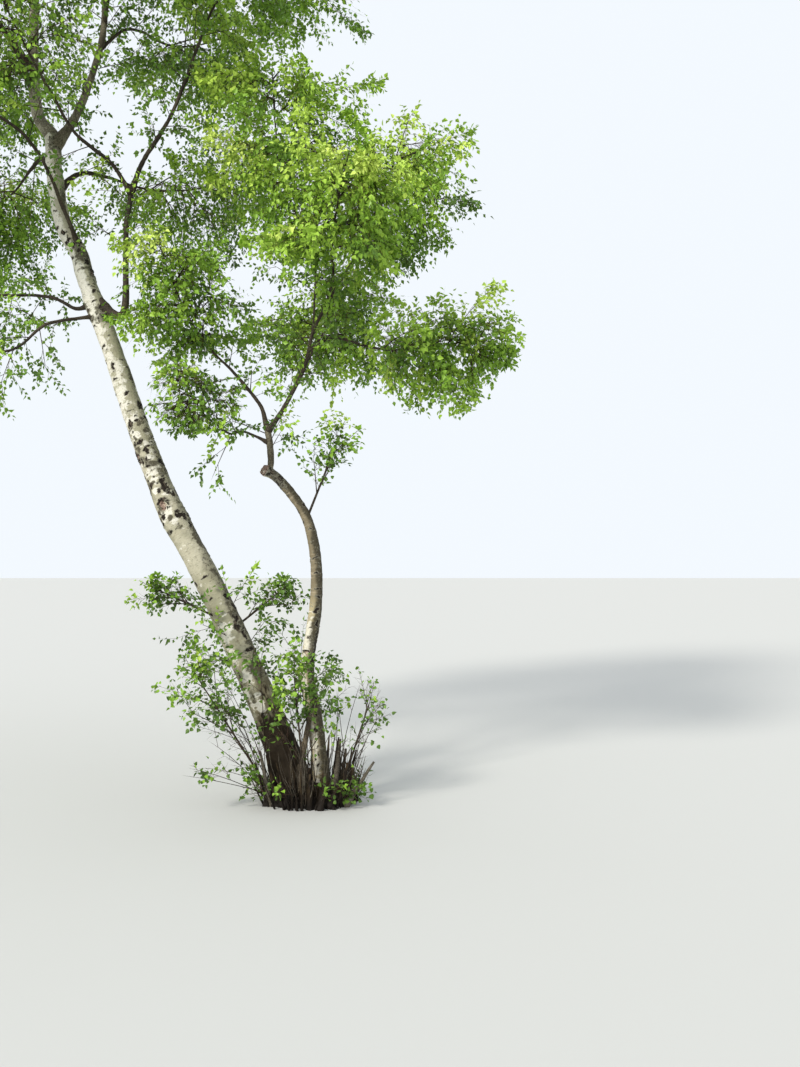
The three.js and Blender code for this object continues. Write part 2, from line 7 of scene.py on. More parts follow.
import bmesh
import bpy
import numpy as np
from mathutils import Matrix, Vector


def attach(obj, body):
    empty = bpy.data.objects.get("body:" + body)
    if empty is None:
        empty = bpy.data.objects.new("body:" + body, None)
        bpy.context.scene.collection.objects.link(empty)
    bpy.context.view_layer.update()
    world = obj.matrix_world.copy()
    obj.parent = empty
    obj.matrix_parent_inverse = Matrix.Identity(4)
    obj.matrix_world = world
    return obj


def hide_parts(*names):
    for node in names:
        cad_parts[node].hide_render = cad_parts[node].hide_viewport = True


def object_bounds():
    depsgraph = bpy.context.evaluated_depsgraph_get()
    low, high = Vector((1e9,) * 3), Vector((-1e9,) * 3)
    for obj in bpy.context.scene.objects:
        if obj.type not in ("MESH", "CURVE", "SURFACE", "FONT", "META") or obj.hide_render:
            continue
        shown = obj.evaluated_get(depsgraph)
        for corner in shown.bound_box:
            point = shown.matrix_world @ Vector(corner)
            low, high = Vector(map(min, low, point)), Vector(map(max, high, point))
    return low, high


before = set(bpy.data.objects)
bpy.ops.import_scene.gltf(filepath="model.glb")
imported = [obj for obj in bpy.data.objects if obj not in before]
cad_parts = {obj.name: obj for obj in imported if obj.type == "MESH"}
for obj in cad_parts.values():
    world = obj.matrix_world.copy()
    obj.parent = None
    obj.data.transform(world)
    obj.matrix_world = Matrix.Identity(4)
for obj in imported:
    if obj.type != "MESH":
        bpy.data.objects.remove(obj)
cad_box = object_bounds()

# Measurements are in millimetres, +Z up, X to the right and Y away from the viewer, and each mesh is turned
# into metres when it is made.
MM = 0.001
UP = np.array([0.0, 0.0, 1.0])
TOWARDS_VIEWER = np.array([0.0, -1.0, 0.0])
TO_THE_RIGHT = np.array([1.0, 0.0, 0.0])
GOLDEN_ANGLE = math.pi * (3 - math.sqrt(5))
FULL_TURN = 2 * math.pi

# The stems: their line, the radii of their foot and tip, how far the foot flares at the ground as a share of
# its radius, the height that the flare dies away over and its lobes, and how many sides and how long a ring
# of faces their bark has
STEMS = {
    "main_trunk": dict(
        line=[(42, -3, -120), (-175, 15, 480), (-542, 82, 1270), (-817, 139, 1780), (-1012, 192, 2230),
              (-1200, 252, 2740), (-1396, 312, 3238), (-1456, 335, 3425), (-1557, 355, 3606),
              (-1624, 388, 3864), (-1665, 420, 4230)],
        foot=98, tip=46, flare=0.38, flare_height=170, lobes=5, sides=108, ring=6.4,
    ),
    "second_stem": dict(
        line=[(150, -30, -80), (103, -30, 455), (47, -10, 790), (95, 10, 1180), (93, 20, 1480),
              (28, 30, 1740), (-130, 40, 1950), (-237, 40, 2025)],
        foot=51, tip=27, flare=0.3, flare_height=120, lobes=3, sides=60, ring=6,
    ),
    "small_snag": dict(
        line=[(-20, -130, -60), (20, -110, 250), (62, -70, 500), (85, -25, 690)],
        foot=26, tip=12, flare=0.3, flare_height=80, lobes=2, sides=28, ring=7,
    ),
}

# Boughs with a course of their own: the limb that each springs from and how far along it, its line from
# there on, and the radii of its foot and tip
BOUGHS = {
    "left_leader": dict(
        on="main_trunk", at=1, foot=38, tip=12,
        line=[(-1769, 440, 4400), (-1795, 460, 4815), (-1790, 480, 5350), (-1740, 500, 5950),
              (-1680, 510, 6550)],
    ),
    "right_leader": dict(
        on="main_trunk", at=0.977, foot=27, tip=11,
        line=[(-1508, 430, 4384), (-1352, 440, 4819), (-1310, 450, 5250), (-1180, 470, 5850)],
    ),
    "right_bough": dict(
        on="main_trunk", at=0.574, foot=24, tip=15,
        line=[(-1150, 225, 3010), (-1122, 200, 3305), (-1112, 170, 3560), (-1074, 150, 3785)],
    ),
    "right_bough_left_arm": dict(
        on="right_bough", at=0.97, foot=13, tip=9,
        line=[(-1196, 100, 3940), (-1389, 10, 4092), (-1500, -120, 4290)],
    ),
    "right_bough_right_arm": dict(
        on="right_bough", at=0.98, foot=15, tip=9,
        line=[(-993, 150, 3988), (-832, 160, 4256), (-714, 180, 4578), (-620, 220, 4880)],
    ),
    "front_bough": dict(
        on="main_trunk", at=0.7, foot=14, tip=8,
        line=[(-1467, 285, 3525), (-1515, 180, 3680), (-1555, 0, 3859), (-1660, -150, 4025),
              (-1840, -290, 4130)],
    ),
    "low_arch_bough": dict(
        on="main_trunk", at=0.552, foot=11, tip=7,
        line=[(-1420, 200, 2985), (-1600, 130, 2930), (-1772, 60, 2765), (-1990, 0, 2730)],
    ),
    "high_arch_bough": dict(
        on="main_trunk", at=0.569, foot=12, tip=7,
        line=[(-1467, 300, 3070), (-1644, 340, 3156), (-1963, 400, 3180), (-2200, 470, 3230)],
    ),
    "second_leader": dict(
        on="second_stem", at=0.93, foot=25, tip=18,
        line=[(-185, 45, 2107), (-212, 50, 2290)],
    ),
    "second_right_bough": dict(
        on="second_leader", at=0.9, foot=15, tip=8,
        line=[(-111, 45, 2390), (16, 30, 2636), (75, 20, 2850), (165, 20, 3040), (282, 10, 3235)],
    ),
    "second_left_bough": dict(
        on="second_leader", at=1, foot=13, tip=7,
        line=[(-253, 50, 2420), (-365, 40, 2562), (-540, 20, 2740)],
    ),
    "second_low_left_bough": dict(
        on="second_leader", at=0.72, foot=9, tip=5,
        line=[(-337, -20, 2243), (-416, -90, 2225), (-500, -170, 2280)],
    ),
}

# The masses of foliage, in the order of their seeds: the limb that each grows on, how far along the limb,
# and the centre and reach of the space that it keeps to. Those at 1 grow on from the tip of their limb, and
# each of the others has a bough of its own, worked out from its place.
CROWN_MASSES = {
    "top": ("left_leader", 1, (-1640, 520, 7330), (710, 710, 920)),
    "upper_right": ("right_leader", 1, (-880, 500, 6560), (780, 760, 850)),
    "right": ("right_bough_right_arm", 1, (-240, 320, 5330), (800, 780, 760)),
    "inner_front": ("right_bough_left_arm", 1, (-1650, -350, 4640), (560, 520, 540)),
    "front_left": ("front_bough", 1, (-2250, -450, 4270), (690, 640, 600)),
    "low_arch": ("low_arch_bough", 1, (-2440, -80, 2790), (740, 640, 530)),
    "high_arch": ("high_arch_bough", 1, (-2680, 600, 3400), (740, 690, 580)),
    "second_right": ("second_right_bough", 1, (480, 0, 3720), (710, 690, 710)),
    "second_left": ("second_left_bough", 1, (-700, -40, 3080), (520, 560, 540)),
    "second_low_left": ("second_low_left_bough", 1, (-580, -260, 2430), (330, 400, 280)),
    "upper_left": ("left_leader", 0.66, (-2370, 350, 6480), (830, 780, 800)),
    "upper_back": ("left_leader", 0.58, (-1620, 1230, 6350), (800, 760, 800)),
    "upper_front": ("left_leader", 0.52, (-1620, -350, 6280), (800, 740, 830)),
    "left": ("left_leader", 0.34, (-3000, 350, 5430), (830, 800, 760)),
    "left_back": ("left_leader", 0.24, (-2450, 1290, 5150), (830, 800, 760)),
    "left_front": ("left_leader", 0.28, (-2450, -560, 5330), (830, 760, 760)),
    "right_back": ("right_leader", 0.5, (-850, 1290, 5330), (800, 780, 760)),
    "right_front": ("right_leader", 0.6, (-880, -460, 5420), (780, 710, 760)),
    "low_back_left": ("main_trunk", 0.944, (-2330, 1150, 4080), (760, 740, 640)),
    "low_back_right": ("main_trunk", 0.898, (-880, 1080, 4170), (760, 740, 670)),
    "second_top": ("second_right_bough", 0.6, (-120, 130, 4130), (740, 710, 740)),
    "second_low_right": ("second_right_bough", 0.5, (800, 60, 2830), (620, 600, 510)),
    "second_back": ("second_right_bough", 0.35, (150, 760, 3150), (690, 620, 640)),
    "second_front": ("second_right_bough", 0.75, (280, -620, 3430), (620, 550, 600)),
}

# Young leafy shoots, which rise from the middle of a stem, or from a point inside the stool that stands here
# in place of the limb
SHOOTS = {
    "foot_left": ((-150, -60, 40), 0, (-450, -190, 560), (420, 330, 520)),
    "foot_middle": ((50, -150, 40), 0, (10, -270, 600), (270, 230, 420)),
    "foot_right": ((240, 10, 40), 0, (370, -100, 440), (230, 270, 400)),
    "trunk_left": ("main_trunk", 0.174, (-740, -110, 1240), (290, 270, 170)),
    "trunk_right": ("main_trunk", 0.168, (-200, 210, 1220), (270, 260, 170)),
    "second_shoot": ("second_stem", 0.7, (190, -40, 2080), (290, 260, 300)),
}

# The masses that are looser or darker than the others: the share of its leaves that each keeps, and how much
# shade is on it beside that of its kind
LEAFY = dict(
    inner_front=0.42, front_left=0.5, second_low_left=0.6, left_back=0.85, left_front=0.62, right_back=0.62,
    right_front=0.62, low_back_right=0.6, foot_left=0.7, foot_middle=0.5, foot_right=0.15, trunk_left=0.4,
    trunk_right=0.35, second_shoot=0.5,
)
SHADE = dict(
    second_right=-0.07, second_left=0.1, second_low_left=0.2, second_low_right=-0.07, second_back=-0.07,
    second_front=-0.07,
)

# How many thin stems stand beside a shoot's own, the stretch of heights that has hardly any leaves, and the
# share of its leaves that a shoot keeps there
WHIP_COUNTS = dict(foot_left=14, foot_middle=9, foot_right=12)
BARE_STRETCH = dict(foot_left=(240, 450), foot_middle=(0, 480), foot_right=(0, 330))
BARE_SHARE = 0.12

# Boughs that are worked out from the mass they carry: the radii of their foot and tip, the largest foot as a
# share of their limb's radius, how far out in the mass they end, and how far they rise along their limb
SPROUT = dict(foot=19, tip=8, limb_share=0.55, entry=0.68, lift=0.16)

# A bough's collar swells its foot by a share that dies away over "reach" times its radius, and "lobe" is how
# deep a root flare's lobes are. In the bark the collar swells by a share of the bough's radius, but of no
# more than a share of its limb's, and dies away over "short" times the bough's radius.
COLLAR = dict(swell=0.25, reach=4, lobe=0.45, bark=0.6, limb_bark=0.3, short=2.4)

# The kinks of a bough, as shares of the radius of its foot: how far they go and how far apart they are
KINKS = dict(depth=0.4, spacing=7)

# The knob at the torn end of the second stem, in millimetres: how far it stands out, how far it is from the
# end and half its length, and how lumpy it is, as a share of its height
KNOB = dict(height=9, inset=26, half=30, lumps=0.7)

# The swelling of the trunk round its old scars: how far it stands out, more on the left by a share, and the
# height of its middle and half its length
BURL = dict(height=9, lean=0.5, middle=1730, half=150)

# The leader beside the torn end is slimmer at its foot, by this share of its radius
SLIM_LEADER = 0.55

# How far a mass's stem stands clear of its bough's tip, the least height of leaves and twigs, and the corners
# of the box of the solids, which no leaf passes
SEAT_GAP = 0.3
LEAST_HEIGHT = 20
lowest_corner, highest_corner = (np.array(corner) / MM for corner in cad_box)

# The rule that every mass grows by. Its stem runs "stem_share" of the way across the space. Its twigs leave
# the stem from "first_twig" on, over "twig_span" of its length, turned round it by the golden angle, and
# "margin" is how clearly they keep to their space. They open more widely at the foot than at the tip.
RULE = dict(
    stem_share=0.82, first_twig=0.12, twig_span=0.82, round_jitter=0.5, open_foot=1.15, open_tip=0.45,
    least_twig=0.3, twig_scale=(0.85, 0.25), margin=0.035,
)

# The sprays on each twig: their angle from its heading beside it and at its end, the spread of their sizes
# and of their turn from level, where they are widest, and the shares of full length at which each is tried
SPRAY = dict(
    side_angle=0.85, tip_angle=0.15, tip_seat=0.985, twig_share=0.6, round_jitter=0.6, scale=(0.85, 0.3),
    tilt=(0.3, 1.2), widest=0.42, tries=(1, 0.88, 0.74, 0.5),
)

# How a mass grows. "twigs" and "sprays" are those of the solids, "length" and "width" are a spray's, as a
# share of the mean reach and of its own length, and "fine_twigs" stand between the twigs. Fine shoots leave
# every twig, up to "fill" of the reach. "spray_twiglets" leave each spray and "twiglets" each fine shoot,
# and leaves stand on shoots and twiglets alike. "shade" is how far painted shade darkens the leaves and
# "hang" how far they hang, from the least to the most. A crown's mass with less than "full_size" of mean
# reach keeps fewer of its leaves, so that all are equally thick.
CROWN = dict(
    twigs=5, sprays=2, length=0.7, width=0.78, stem_foot=8, twig_foot=6, spread=66, sag=0.1, droop=0.35,
    spray_twiglets=28, fine_twigs=8, shoots=6, shoot_angle=0.9, shoot_scale=(0.35, 0.45), shoot_foot=2.4,
    fill=1.02, twiglets=7, twiglet_angle=0.8, twiglet_scale=(0.18, 0.2), twiglet_foot=1.2, shade=0,
    shoot_leaves=12, twiglet_leaves=8, leaf_length=34, leaf_width=0.8, hang=(-0.15, 0.75), full_size=760,
)
FOOT = dict(
    twigs=4, sprays=1, length=0.6, width=0.6, stem_foot=8, twig_foot=4, spread=34, sag=0.04, droop=0,
    spray_twiglets=8, fine_twigs=4, shoots=4, shoot_angle=0.7, shoot_scale=(0.35, 0.4), shoot_foot=1.8,
    fill=1.02, twiglets=3, twiglet_angle=0.7, twiglet_scale=(0.25, 0.2), twiglet_foot=1.1, shade=0.44,
    shoot_leaves=7, twiglet_leaves=4, leaf_length=37, leaf_width=0.82, hang=(-0.3, 0.5),
)

# Small leafy twigs along the boughs, "spacing" apart from "first" of a bough's length on, which stay within
# "room" of it
BOUGH = dict(
    spacing=75, first=0.22, last=1, room=330, open=1.0, fill=1.15, twig_length=(150, 200), twig_foot=3.4,
    sag=0.06, droop=0.14, shoots=4, shoot_angle=0.8, shoot_scale=(0.35, 0.4), shoot_foot=1.8, twiglets=3,
    twiglet_angle=0.8, twiglet_scale=(0.2, 0.15), twiglet_foot=1.1, shade=0.2, shoot_leaves=7,
    twiglet_leaves=5, leaf_length=35, leaf_width=0.8, hang=(-0.15, 0.75),
)

# The share of its length that is bare at the foot of a bough, where it differs from the others'
BARE_FOOT = dict(front_bough=0.62, right_bough=0.6)

# Where such twigs grow on the stems, from the first to the last share of their length, how far apart, and how
# far painted shade darkens their leaves
STEM_SPROUTS = {
    "main_trunk": dict(first=0.17, last=0.31, spacing=75, shade=0.42),
    "second_stem": dict(first=0.22, last=0.45, spacing=80, shade=0.42),
}

# The fine growth fills a mass further in some directions than in others, by a swing from the least share of
# its reach, and leaves gaps of about "gap_size" where a noise is below "gap_share"
RAGGED = dict(least=0.82, swing=0.2, detail=2.6, gap_size=340, gap_share=-0.32)

# Thin stems beside a young shoot's own: the spread of their feet, where they end as shares of the mass's
# reach, how steep they start, and their radius
WHIPS = dict(
    spread=(80, 60, 0), low_end=(-0.65, -0.6, -0.7), high_end=(0.6, 0.6, 0.8), steep=(0.4, 0.4, 0.6),
    foot=3.4,
)

# The twiglets beside a spray's shoot: where the first stands and over what share of it they stand, how far
# on they are measured against the spray's outline and how far they pass it, and the spread of their angle,
# turn and length, how much they droop, bow and sag, and the share of the mass's reach that they keep to
SPRAY_TWIGLETS = dict(
    first=0.05, span=0.9, ahead=0.15, beyond=0.1, angle=(0.55, 0.95), turn=0.5, length=(0.75, 1.15),
    droop=0.15, bow=0.12, sag=0.12, limit=1.03,
)

# Side branches: the last share of the length that they stand at, how far each is moved and turned at random,
# the spread of their angle, and their sag as a share of the droop. "twig" and "shoot" are the first share of
# a twig's and a shoot's length, and "limit" is how far twiglets may fill a mass.
BRANCHES = dict(
    last=0.97, moved=0.03, turned=0.6, angle=(0.75, 1.2), sag=0.5, twig=0.2, shoot=0.12, limit=1.1,
)

# How clear of the limbs the tips and middles of twigs, the thin stems of shoots, twiglets, and the tips and
# feet of leaves stand
CLEAR = dict(tip=6, middle=4, whip=4, twiglet=3, leaf_tip=3, leaf_foot=1)

# How leaves stand: the first share of a shoot and of a twiglet that has them, their angle at the sides and
# at the tip and its spread, the spread of their turn, how far they face up, outward and at random, the
# spread of their size, the size of those at the tip, the length of their stalk, and how far outside a mass
# they may end
LEAF_STAND = dict(
    on_shoot=0.2, on_twiglet=0.1, side_angle=0.95, tip_angle=0.25, angle_spread=(0.7, 1.3), turned=0.5,
    round=6.3, upward=0.75, outward=0.4, uneven=0.55, size=(0.68, 1.2), tip_size=0.85, stalk=3, beyond=1.05,
)

# How light a shoot's leaves are, by how far its middle, at "at" of its length, is to the right, to the back
# and up in its mass, and how far out, and how much that differs from shoot to shoot
LIGHT_ON_LEAVES = dict(even=0.42, right=-0.16, back=-0.08, up=0.3, out=0.5, out_from=0.6, at=0.6, differs=0.2)

# Thin limbs of each kind: their sides, their rings, and the radius of their tip as a share of their foot's
TUBES = dict(
    stem=(6, 12, 0.4), twig=(5, 6, 0.42), bough_twig=(4, 5, 0.4), sprout=(4, 4, 0.5), stick=(4, 5, 0.5),
    shoot=(3, 3, 0.4), twiglet=(3, 1, 0.5),
)

# Leaf tints, from the sunlit outside of a mass to its shaded inside, as linear red, green and blue
LEAF_TINTS = {
    "sunlit": (0.56, 0.70, 0.14),
    "fresh": (0.42, 0.59, 0.08),
    "spring": (0.30, 0.48, 0.05),
    "deep": (0.205, 0.365, 0.034),
    "shaded": (0.13, 0.25, 0.024),
    "dusk": (0.085, 0.165, 0.02),
}

# Marks on the viewer's side of the two stems: each has its height above the ground, its turn round the stem
# in degrees from the viewer and to the right, its half height and its half width. A scar is left by a lost
# bough, with dark brows over a brown heart, a dash is a short dark line across, and white and grey are
# patches.
TRUNK_MARKS = dict(
    black=[
        (2500, 7, 15, 13), (2420, 68, 28, 14), (2190, -2, 24, 22), (2130, 12, 28, 15), (2070, -35, 26, 17),
        (1970, -47, 14, 15), (1915, 25, 38, 22), (1880, 32, 22, 20), (1720, 29, 34, 22), (1695, 54, 26, 24),
        (1650, 63, 16, 24), (1205, 62, 24, 22), (1140, 76, 22, 20), (975, 56, 30, 22), (885, 54, 12, 28),
        (820, 70, 26, 20), (1030, 40, 36, 20), (1075, 54, 24, 24), (3425, 22, 16, 16), (3350, 52, 20, 20),
        (2330, 78, 22, 18), (2045, 72, 18, 22), (3563, -16, 13, 34), (3398, -50, 13, 16),
    ],
    scar=[(1805, -14, 28, 25), (2112, -62, 24, 20)],
    dash=[
        (3890, -66, 7, 24), (3738, -66, 8, 14), (3705, -25, 6, 17), (3612, -55, 12, 20), (3508, -20, 12, 34),
        (3200, 18, 8, 24), (3160, 40, 9, 26), (3095, 14, 7, 20), (3050, 42, 9, 20), (2705, 39, 8, 20),
        (2870, 24, 7, 18), (2178, 52, 6, 26), (2160, 64, 6, 24), (1225, -12, 6, 12), (2430, 3, 6, 10),
        (2350, 18, 5, 10), (2600, -22, 6, 16), (2790, -12, 6, 14), (2950, -40, 6, 18), (1350, 8, 5, 24),
    ],
    white=[
        (2005, 2, 24, 44), (1958, -8, 18, 34), (1900, -25, 26, 22), (1760, -9, 24, 34), (2175, 58, 24, 24),
        (2240, -10, 22, 38), (2120, 44, 20, 22), (1735, -26, 18, 16), (2335, -4, 22, 34),
        (1040, -12, 50, 42), (900, -30, 60, 26), (770, -4, 55, 36), (590, -4, 40, 22), (680, -40, 50, 22),
        (3465, -24, 34, 26), (3660, -30, 30, 22),
    ],
    grey=[
        (2305, -33, 18, 20), (2250, 46, 24, 26), (2150, -30, 26, 22), (2045, 28, 22, 52),
        (1925, -66, 40, 22), (1720, -7, 20, 20), (1560, 62, 70, 30), (1640, 70, 60, 34), (3405, 34, 66, 56),
        (3290, 62, 60, 30), (2420, 64, 30, 20), (1015, 60, 90, 40), (790, 40, 50, 60), (2600, 72, 60, 26),
        (3790, 60, 90, 18),
    ],
)
STEM_MARKS = dict(
    black=[
        (1168, 24, 16, 15), (1090, 40, 26, 14), (1020, 74, 30, 14), (925, 78, 34, 14), (850, 70, 24, 12),
        (590, 10, 20, 12), (1130, 62, 24, 14), (1240, 30, 8, 20), (445, -10, 16, 12), (700, 62, 30, 14),
        (985, 66, 80, 15), (885, 60, 70, 15), (800, 44, 18, 12), (745, 30, 12, 12), (660, 50, 60, 14),
        (540, 20, 16, 10), (490, -2, 9, 7), (405, 8, 9, 6), (372, -22, 7, 6), (340, -4, 8, 6),
        (300, 12, 8, 7), (268, -24, 7, 6), (235, -8, 9, 6), (205, 6, 8, 7),
    ],
    scar=[(812, -60, 17, 15), (900, -32, 13, 12)],
    dash=[
        (985, -20, 5, 12), (1060, -8, 5, 12), (1290, 20, 5, 24), (1380, 0, 5, 26), (1475, 0, 5, 26),
        (1650, 0, 5, 22),
    ],
    white=[
        (1000, -32, 110, 26), (860, -40, 40, 20), (720, -30, 60, 24), (480, -34, 50, 16), (380, -26, 90, 22),
        (250, -20, 100, 22), (2005, -20, 34, 30), (2020, 60, 26, 16),
    ],
    grey=[(900, 62, 330, 32), (640, 60, 120, 26), (300, 66, 300, 30)],
)
MARKS = dict(main_trunk=TRUNK_MARKS, second_stem=STEM_MARKS)

# Seeded marks: the height that they start at and the share of the stem's height that they end at, how far
# round from the back they reach, in degrees, and the share of them that may be anywhere, then how many to
# the metre of each kind, and the least and the spread of their half height and half width
SEEDED = dict(lowest=450, highest=0.95, far_side=115, anywhere=0.3)
MORE_MARKS = dict(
    black=(5, (8, 20), (10, 22)), scar=(1.2, (18, 14), (18, 12)), dash=(16, (3.5, 4), (9, 20)),
    white=(3, (16, 24), (20, 30)), grey=(5, (20, 50), (16, 24)),
)

# For each stem, the height that its rough foot ends at, how deep the ridges there are, how large its seeded
# marks are, how far round it the painted shade of its grey and speckled right side reaches, and how weathered
# it becomes between which heights. The snag is weathered all over.
AGE = {
    "main_trunk": dict(rough_top=1400, ridges=12, marks=1, side=-0.07, weathered=(0.3, 4050, 4250)),
    "second_stem": dict(rough_top=230, ridges=4, marks=0.5, side=0.24, weathered=(1, 1130, 1330)),
    "small_snag": dict(rough_top=300, ridges=2, marks=0, side=0, weathered=(1, -2000, -1900)),
}

# The rough foot comes in two steps: how much of it each brings, and where it starts and ends, as shares of
# the height that the foot ends at
ROUGH_STEPS = ((0.45, 1, 0.45), (0.55, 0.5, 0.2))

# How the painted shade on the trunk's right side fades with height, and how its bark grows whiter higher up,
# with painted light on its left and front: by how much and between which heights
PAINTED_SHADE_FADING = ((0.4, 2150, 2450), (0.3, 2850, 3200))
WHITER_WITH_PAINTED_LIGHT = ((0.55, 2080, 2330), (0.3, 2700, 3200))

# How the outline of the marks is bent, in millimetres along and across, and how ragged and streaked it is
OUTLINE = dict(along=9, across=8, ragged=0.5, streaked=0.3, least=0.3)

# Marks beside others, as how far up they stand, as a share of the other's height, and how tall and broad
# they are as shares of it: the brow over a scar, and the chevron and the swelling where a bough leaves the
# stem
BROW = (0.9, 0.5, 1.9)
CHEVRON = (-0.8, 2.2, 3)
SWELLING = (-0.6, 4.5, 2.8)

# How far the sides of a brow, a dash and a chevron droop, as a share of their height
DROOP = dict(brow=1.1, dash=0.9, chevron=0.6)

# How far each kind of mark stands out of the bark, in millimetres, or a swelling as a share of the radius
STANDS_OUT = dict(swelling=0.13, brow=5, heart=-8, dash=2, white=-1.2, black_rim=2.5, black=-3)

# How dark a dash and a chevron are beside a black mark, and how grey the bark round a chevron is
FAINTER = dict(dash=0.9, chevron=0.72, grey_chevron=0.9)

# The torn end of a stem: how many of its last rings are pale, are brown at heart and are ragged, how
# weathered the pale ones are, how deep the end is torn, as a share of the radius, and how many teeth it has
TORN = dict(pale=12, heart=7, ragged=5, weathered=0.25, depth=0.45, teeth=5)

# The stretch of the trunk that is mottled all round: its lowest and highest point, and the number of small
# marks there and the least and the spread of their half height and half width
MOTTLED = dict(
    low=1640, high=2340, black=(70, (5, 9), (5, 12)), grey=(46, (8, 16), (10, 18)),
    white=(50, (9, 14), (12, 22)), dash=(30, (3.5, 3), (8, 16)), scar=(0, (1, 1), (1, 1)),
)

# The mound of the stool: its centre, reach and height, how far and in how many lobes it ripples, and its
# faces round and upward
STOOL = dict(centre=(60, -20), reach=(280, 225), height=150, ripple=0.13, lobes=5, around=168, rings=40)

# The surface of the mound, as shares of its radius: how far it is drawn in, how deep its flutes are and how
# high its lumps, and the noise's cells for the flutes, round it and upward, and for the lumps, to the metre
FLUTED = dict(inset=0.06, flutes=0.36, lumps=0.08, round_cells=8.5, up_cells=1.2, lump_cells=16)

# The dead stubs on it: where each stands, how far it leans, its height and its radius
STUBS = [
    dict(foot=(215, -60), lean=(35, -20), height=390, radius=18),
    dict(foot=(265, -130), lean=(190, -30), height=270, radius=14),
    dict(foot=(235, 60), lean=(40, 50), height=300, radius=15),
    dict(foot=(-150, -125), lean=(-70, -25), height=330, radius=14),
    dict(foot=(-60, 135), lean=(-30, 60), height=260, radius=16),
]

# The shoot bases, each at a share of the way to the mound's edge and leaning outward by a share of its
# height, as the least and the spread. The slender ones stand between those of the solids, and the rim ones
# close to the edge.
BASES = dict(count=13, seed=7000, share=(0.45, 0.4), height=(200, 190), radius=(12, 8), lean=(0.1, 0.25))
SLENDER_BASES = dict(
    count=84, seed=7100, share=(0.3, 0.66), height=(70, 270), radius=(3, 6), lean=(0.05, 0.5),
)
RIM_BASES = dict(count=120, seed=7300, share=(0.62, 0.36), height=(20, 190), radius=(2, 6), lean=(-0.6, 1.4))

# How a stub or shoot base stands: the depth of its foot under the ground, its bow as a share of its length,
# and how much thicker its foot is
UPRIGHT = dict(depth=40, bow=0.06, foot=1.4)

# Thin dead sticks and short leafy sprouts out of the stool: where they stand, as the middle and half of
# their spread round it, in radians from the right, and the least and the spread of the rest. Their feet are
# STICK_FOOT above the ground, and STICK_TURN is how unevenly they lean.
STICK_FOOT = 30.0
STICK_TURN = 0.12
STICKS = dict(
    count=64, seed=7200, middle=-0.6, half=2.2, share=(0.35, 0.55), length=(150, 330), radius=(1.6, 2.6),
    lean=(0.1, 0.75), bend=0.12,
)
SPROUTS = dict(
    count=34, seed=7400, middle=-1.6, half=3.1, share=(0.76, 0.3), length=(70, 120), radius=(1.5, 0.8),
    lean=(0.25, 1.1), bend=0.1, shade=0.56, leafy=0.19,
)

# The space that the sprouts' leaves keep to, round the stool, and the length that their shoots are shares of
SPROUT_SPACE = dict(middle=80.0, height=160.0, wider=1.8, spray=120)

# The camera, in metres and degrees: it stands to the right of the tree, at eye height
CAMERA = dict(place=(0.609, -6.5, 1.5), pitch=1.1, lens=36, film_height=36)


def smooth_step(values, low, high):
    """0 below low, 1 above high and a smooth rise between them, or a fall where low is above high."""
    share = np.clip((np.asarray(values, float) - low) / (high - low), 0, 1)
    return share * share * (3 - 2 * share)


def lattice_noise(points, seed=0):
    """Smooth noise from -1 to 1 at points (..., 3), with one cell to the unit."""
    cell = np.floor(points).astype(np.int64)
    blend = points - cell
    blend = blend * blend * (3 - 2 * blend)
    total = np.zeros(points.shape[:-1])
    for corner in np.ndindex(2, 2, 2):
        key = (cell + np.array(corner)) @ np.array([73856093, 19349663, 83492791]) + seed * 26544357
        key = ((key ^ (key >> 13)) * 1274126177) & 0x7FFFFFFF
        level = ((key ^ (key >> 15)) & 0xFFFF) / 0xFFFF
        total += level * np.prod(np.where(corner, blend, 1 - blend), axis=-1)
    return 2 * total - 1


def layered_noise(points, layers=3, seed=0):
    """Noise in several layers, each finer and weaker than the one before."""
    return sum(lattice_noise(points * 2**k, seed + k) / 2**k for k in range(layers))


def unit(vectors):
    """Vectors (..., 3) at a length of 1."""
    return vectors / np.maximum(np.linalg.norm(vectors, axis=-1, keepdims=True), 1e-12)


class Course:
    """A smooth curve through points. Its parameter t runs evenly over the spans between them."""

    def __init__(self, points):
        points = np.array(points, float)
        before = 2 * points[0] - points[1]
        after = 2 * points[-1] - points[-2]
        self.spans = len(points) - 1
        self.points = np.vstack([before, points, after])
        self.marks = np.linspace(0, 1, 201)
        steps = np.linalg.norm(np.diff(self.point(self.marks), axis=0), axis=1)
        self.lengths = np.concatenate([[0], np.cumsum(steps)])
        self.length = self.lengths[-1]

    def point(self, t):
        """Points at t."""
        t = np.asarray(t, float)
        place = t * self.spans
        span = np.minimum(place.astype(int), self.spans - 1)
        share = (place - span)[..., None]
        p0, p1, p2, p3 = (self.points[span + k] for k in range(4))
        slope1 = (p2 - p0) / 2
        slope2 = (p3 - p1) / 2
        square = -3 * p1 + 3 * p2 - 2 * slope1 - slope2
        cube = 2 * p1 - 2 * p2 + slope1 + slope2
        return p1 + share * (slope1 + share * (square + share * cube))

    def tangent(self, t):
        """Headings at t."""
        low = np.maximum(np.asarray(t, float) - 1e-4, 0)
        high = np.minimum(np.asarray(t, float) + 1e-4, 1)
        return unit(self.point(high) - self.point(low))

    def even(self, shares):
        """Points at shares of the curve's length."""
        return self.point(np.interp(np.asarray(shares) * self.length, self.lengths, self.marks))


class Arc(Course):
    """A plain curve from a start to an end, drawn towards a bend between them."""

    def __init__(self, start, bend, end):
        self.ends = [np.asarray(p, float) for p in (start, bend, end)]

    def point(self, t):
        """Points at t."""
        t = np.asarray(t, float)[..., None]
        start, bend, end = self.ends
        return (1 - t) ** 2 * start + 2 * t * (1 - t) * bend + t * t * end


limbs = {}


def add_limb(name, line, **sizes):
    """A stem or bough along a line."""
    limbs[name] = dict(name=name, course=Course(line), collar=0, **sizes)


